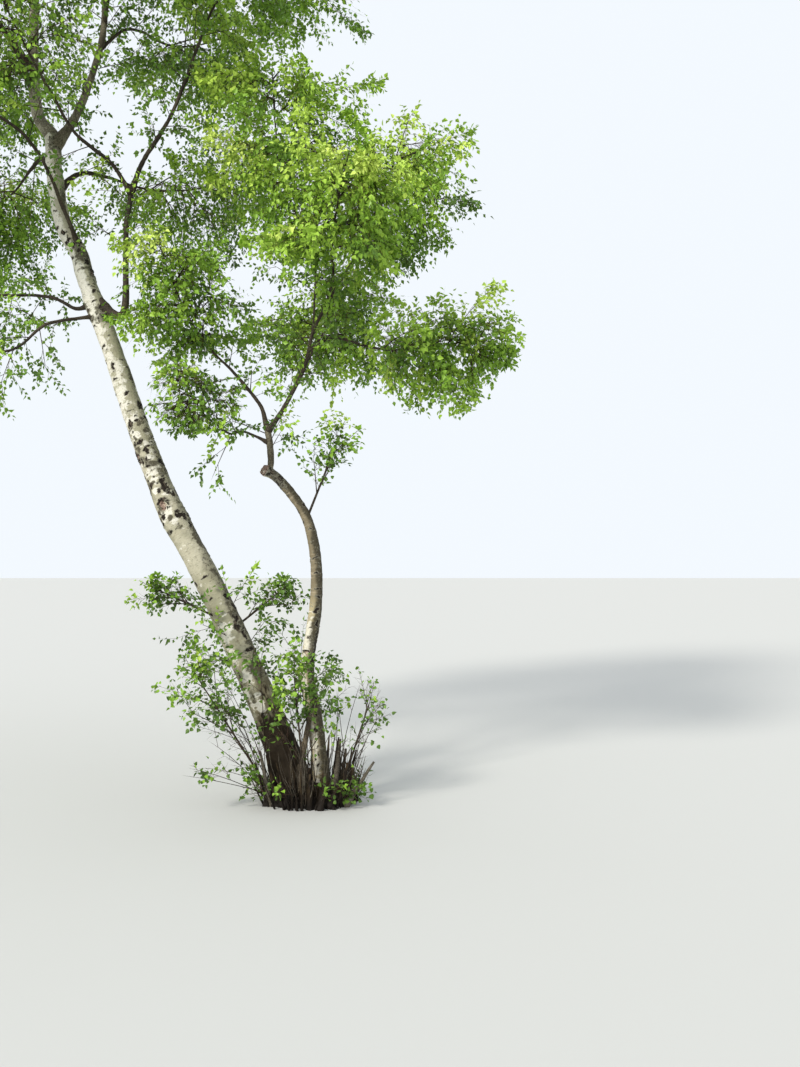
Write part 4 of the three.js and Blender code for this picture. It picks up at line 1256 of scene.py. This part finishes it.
def tubes(arcs, feet, kind, tips=None):
    """Thin limbs along arcs, closed by a flat foot and a pointed tip, as points and triangles. Their radius
    runs from feet to tips."""
    sides, rings, tip_share = TUBES[kind]
    count = len(arcs)
    feet = np.broadcast_to(feet, count)
    tips = feet * tip_share if tips is None else np.broadcast_to(tips, count)
    shares = np.broadcast_to(np.arange(rings) / rings, (count, rings))
    centres = arc_points(arcs, shares)
    headings = arc_headings(arcs, shares)
    side = np.cross(headings, UP)
    side[np.linalg.norm(side, axis=-1) < 0.05] = (1, 0, 0)
    side = unit(side)
    over = np.cross(side, headings)
    angles = np.arange(sides) * FULL_TURN / sides
    outward = side[:, :, None] * np.cos(angles)[:, None] + over[:, :, None] * np.sin(angles)[:, None]
    radii = feet[:, None] * (1 - shares) + tips[:, None] * shares
    points = centres[:, :, None] + outward * radii[:, :, None, None]
    each = rings * sides + 1
    points = np.concatenate([points.reshape(count, -1, 3), arcs[:, None, 2]], axis=1)
    quads = ring_faces(rings, sides)
    last = (rings - 1) * sides
    cone = [(last + k, last + (k + 1) % sides, each - 1) for k in range(sides)]
    base = [(0, k + 1, k) for k in range(1, sides - 1)]
    one = np.vstack([quads[:, [0, 1, 2]], quads[:, [0, 2, 3]], np.array(cone), np.array(base)])
    faces = one + (np.arange(count) * each)[:, None, None]
    return points.reshape(-1, 3), faces.reshape(-1, 3)


# A leaf's outline as points across, along and above it, as shares of its width and length. The inner ones
# are a folded kite, the far ones, which have the lightest tints, have shoulders too, and the near ones on
# the young shoots have a stalk and a fuller edge.
FAR_LEAF_TINTS = 3
INNER_LEAF = dict(
    points=[(0, 0, 0), (0.46, 0.36, 0.1), (0, 1, -0.1), (-0.46, 0.36, 0.1)],
    faces=[(0, 1, 2), (0, 2, 3)],
)
FAR_LEAF = dict(
    points=[(0, 0, 0), (0.5, 0.3, 0.1), (0.33, 0.62, 0.08), (0, 1, -0.1), (-0.33, 0.62, 0.08),
            (-0.5, 0.3, 0.1)],
    faces=[(0, 1, 2), (0, 2, 3), (0, 3, 4), (0, 4, 5)],
)
NEAR_LEAF = dict(
    points=[
        (0, 0, 0), (0.012, 0.02, 0), (0, 0.22, 0), (0.3, 0.25, 0.06), (0.47, 0.4, 0.1), (0.4, 0.55, 0.09),
        (0.3, 0.72, 0.05), (0.12, 0.86, -0.02), (0, 1, -0.12), (-0.12, 0.86, -0.02), (-0.3, 0.72, 0.05),
        (-0.4, 0.55, 0.09), (-0.47, 0.4, 0.1), (-0.3, 0.25, 0.06), (0, 0.5, 0),
    ],
    faces=[
        (0, 1, 2), (2, 3, 14), (3, 4, 14), (4, 5, 14), (5, 6, 14), (6, 7, 14), (7, 8, 14), (8, 9, 14),
        (9, 10, 14), (10, 11, 14), (11, 12, 14), (12, 13, 14), (13, 2, 14),
    ],
)


def leaf_blades(feet, directions, faces, lengths, width, shape):
    """Leaves of a shape as points and triangles."""
    side = unit(np.cross(directions, faces))
    axes = (side, directions, np.cross(side, directions))
    across, along, up = np.array(shape["points"], float).T
    points = feet[:, None]
    for axis, shares in zip(axes, (across[:, None] * width, along[:, None], up[:, None])):
        points = points + axis[:, None] * (shares * lengths[:, None, None])
    corners = np.array(shape["faces"]) + (np.arange(len(feet)) * len(across))[:, None, None]
    return points.reshape(-1, 3), corners.reshape(-1, 3)


def columns(rows):
    """The columns of rows, each as an array."""
    return tuple(np.array(column) for column in zip(*rows))


def grow_mass(mass):
    """One mass: its stem, twigs, shoots, twiglets and leaves, filed with those of its group."""
    growth = mass["growth"]
    random = np.random.default_rng(mass["seed"])
    mass.update(spray=growth["length"] * mass["reach"].mean(), beads=beads_near(mass))
    stem = stem_of(mass)
    stem_arc = np.array([stem.ends])
    twigs, sprays = twigs_and_sprays(mass, stem)
    own_twigs = arcs_from(*columns(twigs), growth["sag"])
    fine_twigs, fits = fitting(*columns(fine_twigs_of(mass, stem)), growth["sag"], mass, growth["fill"])
    whips = whips_of(mass, random)
    twigs = np.vstack([own_twigs, fine_twigs[fits], whips])
    feet, directions, _, lengths = columns(sprays)
    spray_shoots = arcs_from(feet, directions, lengths, 0)
    side_twiglets, side_owners = twiglets_on_sprays(sprays, mass, random)
    file_piece(mass, "branchlets", tubes(stem_arc, mass["stem_foot"], "stem", tips=growth["stem_foot"] * 0.4))
    radii = np.full(len(twigs), growth["twig_foot"])
    radii[len(twigs) - len(whips):] = WHIPS["foot"]
    file_piece(mass, "branchlets", tubes(twigs, radii, "twig"))
    grow_leaves(mass, random, np.vstack([stem_arc, twigs]), spray_shoots, side_twiglets, side_owners)


def grow_along(limb, seed, group, first, last, spacing, shade):
    """Small leafy twigs along a limb, between two shares of its length, filed with a group of foliage."""
    course = limb["course"]
    random = np.random.default_rng(seed)
    least, spread = BOUGH["twig_length"]
    mass = dict(
        name=limb["name"], growth=BOUGH, group=group, seed=seed, shade=shade, leafy=1.0, spray=least + spread,
        centre=course.even((first + last) / 2),
        reach=np.full(3, course.length * (last - first) / 2 + BOUGH["room"]),
    )
    mass["beads"] = beads_near(mass)
    count = int((last - first) * course.length / spacing)
    shares = first + (last - first) * (np.arange(count) + random.random(count)) / count
    t = np.interp(shares * course.length, course.lengths, course.marks)
    directions = turned_from(course.tangent(t), BOUGH["open"], np.arange(count) * GOLDEN_ANGLE)
    lengths = least + spread * random.random(count) + taper(limb, shares)
    twigs, fits = fitting(course.point(t), directions, lengths, BOUGH["sag"], mass, BOUGH["fill"])
    if fits.any():
        file_piece(mass, "branchlets", tubes(twigs[fits], BOUGH["twig_foot"], "bough_twig"))
        grow_leaves(mass, random, twigs[fits])


def grow_sprouts():
    """Short leafy sprouts low round the stool."""
    random = np.random.default_rng(SPROUTS["seed"])
    arcs, radii = stick_arcs(SPROUTS, random)
    mass = dict(
        name="sprouts", growth=FOOT, group="young_shoots", seed=SPROUTS["seed"], shade=SPROUTS["shade"],
        leafy=SPROUTS["leafy"], centre=np.array([*STOOL["centre"], SPROUT_SPACE["middle"]]),
        reach=np.array([*STOOL["reach"], SPROUT_SPACE["height"]]) * SPROUT_SPACE["wider"],
        spray=SPROUT_SPACE["spray"],
    )
    mass["beads"] = beads_near(mass)
    file_piece(mass, "branchlets", tubes(arcs, radii, "sprout"))
    grow_leaves(mass, random, arcs)


NO_ARCS = np.empty((0, 3, 3))
NO_OWNERS = np.empty(0, int)


def grow_leaves(mass, random, twigs, spray_shoots=NO_ARCS, side_twiglets=NO_ARCS, side_owners=NO_OWNERS):
    """The fine shoots of a mass's twigs, the twiglets of all its shoots, and the leaves of both."""
    growth = mass["growth"]
    fine_shoots, _ = branch_from(twigs, mass, random, "shoot", BRANCHES["twig"], growth["fill"])
    shoots = np.vstack([spray_shoots, fine_shoots])
    fine_twiglets, fine_owners = branch_from(
        fine_shoots, mass, random, "twiglet", BRANCHES["shoot"], BRANCHES["limit"],
    )
    twiglets = straight(np.vstack([side_twiglets, fine_twiglets]))
    owners = np.concatenate([side_owners, fine_owners + len(spray_shoots)])
    tints = tints_of(shoots, mass, random)
    radii = growth["shoot_foot"] * random.uniform(0.8, 1.2, len(shoots))
    file_piece(mass, "shoots", tubes(shoots, radii, "shoot"))
    file_piece(mass, "shoots", tubes(twiglets, growth["twiglet_foot"], "twiglet"))
    on_shoots = leaves_on(shoots, np.arange(len(shoots)), mass, random, "shoot")
    on_twiglets = leaves_on(twiglets, owners, mass, random, "twiglet")
    *leaves, owners = (np.concatenate(pair) for pair in zip(on_shoots, on_twiglets))
    for number, tint in enumerate(LEAF_TINTS):
        shape = NEAR_LEAF if growth is FOOT else FAR_LEAF if number < FAR_LEAF_TINTS else INNER_LEAF
        own = tints[owners] == number
        file_piece(mass, tint, leaf_blades(*(column[own] for column in leaves), growth["leaf_width"], shape))


filed = {}


def file_piece(mass, kind, shape):
    """Files points and triangles with their group's others of the same kind."""
    if len(shape[1]):
        filed.setdefault((mass["group"], kind), []).append(shape)


def joined(shapes):
    """Several sets of points and faces as one."""
    starts = np.cumsum([0] + [len(points) for points, _ in shapes])
    return np.vstack([p for p, _ in shapes]), np.vstack([f + s for (_, f), s in zip(shapes, starts)])


MOST_FACES = 190_000


def batches(shapes):
    """Sets of shapes, each with fewer faces than one piece may have."""
    batch = []
    count = 0
    for shape in shapes:
        if batch and count + len(shape[1]) > MOST_FACES:
            yield batch
            batch = []
            count = 0
        batch.append(shape)
        count += len(shape[1])
    yield batch


class Shader:
    """A material's nodes around its main shader, and its colour so far. Most calls add a node and give its
    output."""

    def __init__(self, name, roughness, gloss=0.2):
        self.material = bpy.data.materials.new(name)
        self.material.use_nodes = True
        self.tree = self.material.node_tree
        self.main = self.tree.nodes["Principled BSDF"]
        self.main.inputs["Roughness"].default_value = roughness
        self.main.inputs["Specular IOR Level"].default_value = gloss
        self.colour = None

    def add(self, kind, inputs=(), output=0, **settings):
        """A node of a kind, with its inputs and settings."""
        made = self.tree.nodes.new("ShaderNode" + kind)
        for key, value in settings.items():
            setattr(made, key, value)
        for key, value in dict(inputs).items():
            self.plug(value, made.inputs[key])
        return made.outputs[output]

    def plug(self, value, socket):
        """Gives an input a value, a colour or another node's output."""
        if isinstance(value, bpy.types.NodeSocket):
            self.tree.links.new(value, socket)
        elif isinstance(value, tuple) and len(value) == 3 and socket.type == "RGBA":
            socket.default_value = (*value, 1)
        else:
            socket.default_value = value

    def place(self, attribute=None):
        """Where each point is: on the object, or as an attribute of the mesh says."""
        if attribute:
            return self.add("Attribute", output="Vector", attribute_name=attribute)
        return self.add("TexCoord", output="Object")

    def parts(self, attribute):
        """The three values of an attribute."""
        return self.add("SeparateXYZ", {0: self.place(attribute)}).node.outputs

    def noise(self, place, scale, detail=3.0, roughness=0.55):
        """Noise with so many patches to the metre in x, y and z."""
        stretched = self.add("VectorMath", {0: place, 1: scale}, operation="MULTIPLY")
        inputs = {"Vector": stretched, "Scale": 1, "Detail": detail, "Roughness": roughness}
        return self.add("TexNoise", inputs)

    def step(self, value, low, high):
        """0 below low, 1 above high and a smooth rise between them."""
        return self.add("MapRange", {0: value, 1: low, 2: high}, interpolation_type="SMOOTHSTEP")

    def sum(self, first, second, share=1.0):
        """The first value and a share of the second."""
        return self.add("Math", {0: second, 1: share, 2: first}, operation="MULTIPLY_ADD")

    def times(self, first, second):
        """The product of two values."""
        return self.add("Math", {0: first, 1: second}, operation="MULTIPLY")

    def mix(self, first, second, share):
        """The first colour with a share of the second."""
        return self.add("Mix", {0: share, 6: first, 7: second}, output=2, data_type="RGBA")

    def lay(self, tone, share):
        """Lays a tone over the colour so far."""
        self.colour = self.mix(self.colour, tone, share)

    def coat(self, tone, cover, low, high, strength):
        """Lays a tone on where the cover rises from low to high, up to a strength."""
        self.lay(tone, self.times(self.step(cover, low, high), strength))

    def paint(self, colour):
        """Gives the main shader its colour."""
        self.plug(colour, self.main.inputs["Base Color"])

    def bump(self, height, strength, distance):
        """Gives the main shader a relief."""
        normal = self.add("Bump", {"Height": height, "Strength": strength, "Distance": distance})
        self.plug(normal, self.main.inputs["Normal"])


# The tones of the marks, streaks and old parts of white bark
TONES = dict(
    streak=(0.3, 0.25, 0.17), dash=(0.07, 0.058, 0.04), mottle=(0.3, 0.275, 0.2),
    speckle=(0.055, 0.047, 0.03), mark_edge=(0.235, 0.225, 0.17), mark=(0.017, 0.012, 0.009),
    torn_mark=(0.12, 0.095, 0.068), heart=(0.36, 0.25, 0.2), torn_heart=(0.06, 0.038, 0.026),
    plate=(0.15, 0.125, 0.075), fissure=(0.024, 0.017, 0.01),
)


def white_bark(name, cream, white, beige, old, rings, side):
    """White birch bark: cream in broad patches, thin streaks and short dark marks across it, white flakes,
    with painted light where the stem's tones whiten it, painted shade, grey and speckled, on the side away
    from the sun, weathered at the top, black scars and a rough dark foot."""
    shader = Shader(name, 0.72, gloss=0.15)
    place = shader.place("bark_place")
    rough, dark, grey = shader.parts("bark_marks")
    flaked, heart, weathered = shader.parts("bark_tones")
    fine = shader.noise(place, (75, 75, 95), 5, 0.62)
    centred = shader.sum(-0.5, fine)
    shader.colour = shader.mix(beige, cream, shader.step(shader.noise(place, (6, 6, 5), 3), 0.38, 0.62))
    streaks = shader.noise(place, (8, 8, 170), 3)
    shader.coat(TONES["streak"], streaks, 0.54, 0.76, 0.5)
    shader.lay(TONES["dash"], shader.step(shader.noise(place, (30, 30, 190), 2, 0.45), 0.68, 0.72))
    patches = shader.noise(place, (17, 17, 26), 5, 0.66)
    # White flakes where the stem's tones say: white patches, and whiter bark with painted light higher up
    flakes = shader.sum(shader.sum(shader.times(flaked, 0.4), centred, 0.5), patches)
    shader.lay(white, shader.step(flakes, 0.6, 0.74))
    # Fine mottling all over
    shader.coat(TONES["mottle"], shader.noise(place, (48, 48, 75), 5, 0.7), 0.52, 0.7, 0.6)
    # The weathered top, with paler rings
    banded = shader.step(shader.noise(place, (5, 5, 60), 3), 0.5, 0.66)
    shader.lay(shader.mix(old, rings, banded), shader.step(weathered, 0, 1))
    # Painted shade, grey and speckled, on the side away from the sun, and the grey patches
    speckle = shader.sum(shader.times(grey, 0.36), shader.noise(place, (44, 44, 50), 5, 0.74))
    shader.coat(side, grey, 0.05, 0.9, 0.8)
    shader.coat(TONES["speckle"], speckle, 0.7, 0.84, 0.85)
    # Marks and scars: a grey edge, a nearly black middle with browner streaks, and a brown heart
    flecks = shader.sum(-0.5, shader.noise(place, (46, 46, 60), 5, 0.74))
    edge = shader.sum(shader.sum(dark, centred, 1.1), flecks, 2.6)
    shader.coat(TONES["mark_edge"], edge, 0.12, 0.5, 0.75)
    black = shader.step(edge, 0.48, 0.82)
    torn = shader.step(shader.sum(shader.noise(place, (62, 62, 20), 4, 0.65), dark, -0.12), 0.4, 0.6)
    shader.lay(shader.mix(TONES["mark"], TONES["torn_mark"], torn), black)
    wood = shader.mix(TONES["heart"], TONES["torn_heart"], shader.step(fine, 0.44, 0.6))
    shader.lay(wood, shader.step(shader.sum(heart, centred, 0.9), 0.84, 0.98))
    # The rough foot: grey-brown plates, with nearly black fissures
    worn = shader.sum(rough, flaked, -0.35)
    plates = shader.sum(worn, shader.noise(place, (17, 17, 9), 5, 0.7), 1.4)
    shader.coat(TONES["plate"], plates, 0.98, 1.32, 0.88)
    fissures = shader.sum(worn, shader.noise(place, (52, 52, 17), 5, 0.68), 1.5)
    shader.lay(TONES["fissure"], shader.step(fissures, 1.24, 1.5))
    shader.paint(shader.colour)
    shader.bump(shader.sum(shader.sum(fine, streaks, 0.5), black, -0.4), 0.5, 0.004)
    return shader.material


def brown_bark(name, dark, light, warts, grain=(120, 120, 120), darker_below=0.0):
    """The bark of boughs and twigs: dark brown, lighter in broad patches and streaks, with small pale warts,
    and darker towards the ground, up to a height above it."""
    shader = Shader(name, 0.72)
    place = shader.place()
    fine = shader.noise(place, grain, 4, 0.62)
    patches = shader.sum(shader.times(shader.noise(place, (9, 9, 9), 4), 0.5), fine, 0.5)
    shader.colour = shader.mix(dark, light, shader.step(patches, 0.43, 0.62))
    shader.coat(warts, shader.noise(place, (260, 260, 260), 1), 0.68, 0.76, 0.7)
    # Darker towards the ground, up to that height above it
    if darker_below:
        height = shader.add("SeparateXYZ", {0: place}, output="Z")
        shader.colour = shader.mix(dark, shader.colour, shader.step(height, 0.0, darker_below))
    shader.paint(shader.colour)
    shader.bump(fine, 0.6, 0.003)
    return shader.material


def leaf_surface(name, colour):
    """A leaf of one plain colour, with a soft gloss that its veins break up."""
    shader = Shader(name, 0.42, gloss=0.3)
    veins = shader.noise(shader.place(), (180, 180, 180), 2)
    roughness = shader.add("MapRange", {0: veins, 1: 0.3, 2: 0.7, 3: 0.34, 4: 0.56})
    shader.plug(roughness, shader.main.inputs["Roughness"])
    shader.paint(colour)
    shader.bump(veins, 0.25, 0.002)
    return shader.material


def drawn(table, keys, draw):
    """Values of a table's keys, each from its least and spread by a random draw of its own."""
    return (table[key][0] + table[key][1] * draw() for key in keys)


def shoot_bases(table):
    """Old shoot bases round the stool, each as the foot, lean, height and radius of a stub."""
    bases = []
    for i in range(table["count"]):
        random = stream(table["seed"] + i)
        keys = ("share", "height", "radius", "lean")
        share, height, radius, lean = drawn(table, keys, lambda: next(random))
        outward = np.array([math.cos(i * GOLDEN_ANGLE), math.sin(i * GOLDEN_ANGLE)])
        foot = np.array(STOOL["centre"]) + share * np.array(STOOL["reach"]) * outward
        bases.append(dict(foot=foot, lean=outward * lean * height, height=height, radius=radius))
    return bases


def before_second_stem(foot):
    """Whether a place on the ground is between the viewer and the foot of the second stem."""
    stem_x, stem_y, _ = STEMS["second_stem"]["line"][0]
    return abs(foot[0] - stem_x) < STEMS["second_stem"]["foot"] and foot[1] < stem_y


def upright(table, sides, ring, pointed):
    """Stubs or shoot bases that stand up out of the stool, as points and faces. "pointed" is how thick their
    tips are, as a share of their radius."""
    shapes = []
    for stub in table:
        foot = np.array([*stub["foot"], -UPRIGHT["depth"]], float)
        top = np.array([*(np.array(stub["foot"]) + stub["lean"]), stub["height"]])
        bow = UPRIGHT["bow"] * (top - foot)[[1, 0, 2]] * (1, -1, 0)
        course = Course([foot, (foot + top) / 2 + bow, top])
        radius = stub["radius"]
        limb = dict(course=course, foot=UPRIGHT["foot"] * radius, tip=pointed * radius, collar=0)
        points, faces, _ = bark_points(limb, sides, ring)
        shapes.append((points, faces))
    return shapes


def mound():
    """The mound of the stool, with the flutes of fused shoot bases, as points and faces."""
    around = np.arange(STOOL["around"]) * FULL_TURN / STOOL["around"]
    rise = np.linspace(-0.12, math.pi / 2 - 0.03, STOOL["rings"])
    turn, tilt = np.meshgrid(around, rise)
    level = np.cos(tilt)
    ripple = 1 + STOOL["ripple"] * np.cos(STOOL["lobes"] * turn) * level
    across = np.stack([level * np.cos(turn) * ripple, level * np.sin(turn) * ripple, np.sin(tilt)], axis=-1)
    reach = np.array([*STOOL["reach"], STOOL["height"]], float)
    cells = FLUTED["round_cells"]
    cells = np.stack([cells * np.cos(turn), cells * np.sin(turn), FLUTED["up_cells"] * tilt], axis=-1)
    flutes = FLUTED["flutes"] * (0.5 - np.abs(lattice_noise(cells, seed=61))) * level
    lumps = FLUTED["lumps"] * layered_noise(across * reach * MM * FLUTED["lump_cells"], 3, seed=71) * level
    swell = 1 - flutes - FLUTED["inset"] + lumps
    points = np.array([*STOOL["centre"], 0.0]) + across * reach * swell[..., None]
    return points.reshape(-1, 3), ring_faces(STOOL["rings"], STOOL["around"])


def stick_arcs(table, random):
    """Thin sticks that lean out of the stool, and the radii of their feet."""
    count = table["count"]
    turn = table["middle"] + table["half"] * random.uniform(-1, 1, count)
    keys = ("share", "length", "radius", "lean")
    share, length, radius, lean = drawn(table, keys, lambda: random.random(count))
    outward = np.column_stack([np.cos(turn), np.sin(turn), np.zeros(count)])
    feet = np.array([*STOOL["centre"], STICK_FOOT]) + share[:, None] * outward * (*STOOL["reach"], 0)
    directions = unit(UP + outward * lean[:, None] + random.normal(0, STICK_TURN, (count, 3)))
    tips = feet + directions * length[:, None]
    bends = (feet + tips) / 2 + random.normal(0, table["bend"], (count, 3)) * length[:, None]
    return np.stack([feet, bends, tips], axis=1), radius


# The bark of each limb. A white bark's side colour is laid as painted shade on the stem's right side, and on
# its grey patches.
BARK = {
    "main_trunk": white_bark(
        "trunk_bark", cream=(0.47, 0.44, 0.33), white=(0.72, 0.69, 0.6), beige=(0.34, 0.325, 0.225),
        old=(0.22, 0.2, 0.13), rings=(0.38, 0.35, 0.24), side=(0.22, 0.205, 0.14),
    ),
    "second_stem": white_bark(
        "stem_bark", cream=(0.52, 0.46, 0.32), white=(0.7, 0.66, 0.55), beige=(0.42, 0.35, 0.2),
        old=(0.2, 0.165, 0.105), rings=(0.36, 0.3, 0.21), side=(0.065, 0.056, 0.033),
    ),
    "small_snag": brown_bark("snag_bark", (0.06, 0.045, 0.03), (0.17, 0.135, 0.09), (0.24, 0.2, 0.14)),
    "left_leader": brown_bark(
        "pale_leader_bark", (0.14, 0.122, 0.088), (0.42, 0.39, 0.29), (0.5, 0.47, 0.38),
    ),
}
BOUGH_BARK = brown_bark("bough_bark", (0.03, 0.023, 0.016), (0.085, 0.066, 0.046), (0.17, 0.145, 0.11))
LEADER_BARK = brown_bark("leader_bark", (0.075, 0.062, 0.042), (0.22, 0.195, 0.135), (0.34, 0.31, 0.23))
LEADERS = ("right_leader", "second_leader")
TWIG_BARK = brown_bark("twig_bark", (0.06, 0.034, 0.022), (0.12, 0.075, 0.045), (0.2, 0.15, 0.1))
STOOL_BARK = brown_bark(
    "stool_bark", (0.009, 0.006, 0.004), (0.062, 0.041, 0.019), (0.12, 0.09, 0.06), (60, 60, 9), darker_below=0.2,
)
STICK_BARK = brown_bark("stick_bark", (0.06, 0.05, 0.036), (0.17, 0.15, 0.115), (0.26, 0.24, 0.19))
SLOTS = dict(main_trunk="white_bark", second_stem="white_bark", small_snag="stool_bark")

for limb_name, limb in limbs.items():
    sides = limb.get("sides", 22 if limb["foot"] > 20 else 14)
    points, faces, attributes = bark_points(limb, sides, limb.get("ring", 10))
    piece = mesh_from(limb_name + "_bark", points, faces, attributes)
    cut_and_cap(piece, at_ground=bool(attributes))
    plain_bark = LEADER_BARK if limb_name in LEADERS else BOUGH_BARK
    dress(piece, BARK.get(limb_name, plain_bark), SLOTS.get(limb_name, "bough_bark"), limb_name)

slender = [base for base in shoot_bases(SLENDER_BASES) if not before_second_stem(base["foot"])]
slender += shoot_bases(RIM_BASES)
stool_shapes = [mound(), *upright(shoot_bases(BASES), 12, 9, 0.25), *upright(slender, 6, 24, 0.2)]
for piece_name, shapes, material in (
    ("stool_wood", stool_shapes, STOOL_BARK), ("stool_stubs", upright(STUBS, 20, 7, 0.45), STICK_BARK),
):
    piece = mesh_from(piece_name, *joined(shapes))
    cut_and_cap(piece, at_ground=True)
    dress(piece, material, "stool_bark", "root_stool")
sticks, stick_radii = stick_arcs(STICKS, np.random.default_rng(STICKS["seed"]))
piece = mesh_from("stool_sticks", *tubes(sticks, stick_radii, "stick"))
dress(piece, STICK_BARK, "stool_bark", "root_stool")

for mass in masses:
    grow_mass(mass)
for seed, limb in enumerate(limbs.values(), 500):
    if "on" in limb:
        first = BARE_FOOT.get(limb["name"], BOUGH["first"])
        grow_along(limb, seed, group_of(limb["name"]), first, BOUGH["last"], BOUGH["spacing"], BOUGH["shade"])
    elif limb["name"] in STEM_SPROUTS:
        grow_along(limb, seed, "young_shoots", **STEM_SPROUTS[limb["name"]])

grow_sprouts()

LEAVES = {tint: leaf_surface("leaf_" + tint, colour) for tint, colour in LEAF_TINTS.items()}
for (group, kind), shapes in filed.items():
    nodes = [mass["name"] + "_foliage" for mass in masses if mass["group"] == group]
    for number, batch in enumerate(batches(shapes), 1):
        is_leaf = kind in LEAVES
        label = f"{group}_leaves_{kind}" if is_leaf else f"{group}_{kind}"
        piece = mesh_from(label if number == 1 else f"{label}_{number}", *joined(batch))
        material = LEAVES[kind] if is_leaf else TWIG_BARK if kind == "shoots" else BOUGH_BARK
        dress(piece, material, "leaves" if is_leaf else "bough_bark", *nodes, smooth=not is_leaf)


def add_floor():
    """A wide plain floor, for the stage only."""
    shader = Shader("floor_surface", roughness=0.9)
    shader.paint((0.56, 0.56, 0.54))
    half = 60_000
    corners = np.array([(-half, -half, 0), (half, -half, 0), (half, half, 0), (-half, half, 0)])
    floor = mesh_from("floor", corners, np.array([[0, 1, 2, 3]]))
    floor.data.materials.append(shader.material)


def add_light():
    """A soft sun from the upper left, in front of the tree, and an even pale sky."""
    sun = bpy.data.lights.new("sun", "SUN")
    sun.energy = 3.0
    sun.angle = math.radians(12)
    sun.color = (1.0, 0.96, 0.88)
    holder = bpy.data.objects.new("sun", sun)
    holder.rotation_euler = (math.radians(57), 0, math.radians(-38))
    bpy.context.scene.collection.objects.link(holder)
    world = bpy.data.worlds.new("sky")
    world.use_nodes = True
    background = world.node_tree.nodes["Background"]
    background.inputs["Color"].default_value = (0.9, 0.95, 1.0, 1)
    background.inputs["Strength"].default_value = 1.0
    bpy.context.scene.world = world


def add_camera():
    """The camera, where the photo was taken from."""
    lens = bpy.data.cameras.new("camera")
    lens.sensor_fit = "VERTICAL"
    lens.sensor_height = CAMERA["film_height"]
    lens.lens = CAMERA["lens"]
    lens.clip_end = 500
    camera = bpy.data.objects.new("camera", lens)
    camera.location = CAMERA["place"]
    camera.rotation_euler = (math.radians(90 + CAMERA["pitch"]), 0, 0)
    bpy.context.scene.collection.objects.link(camera)
    bpy.context.scene.camera = camera


add_floor()
add_light()
add_camera()
bpy.context.scene.view_settings.view_transform = "Standard"
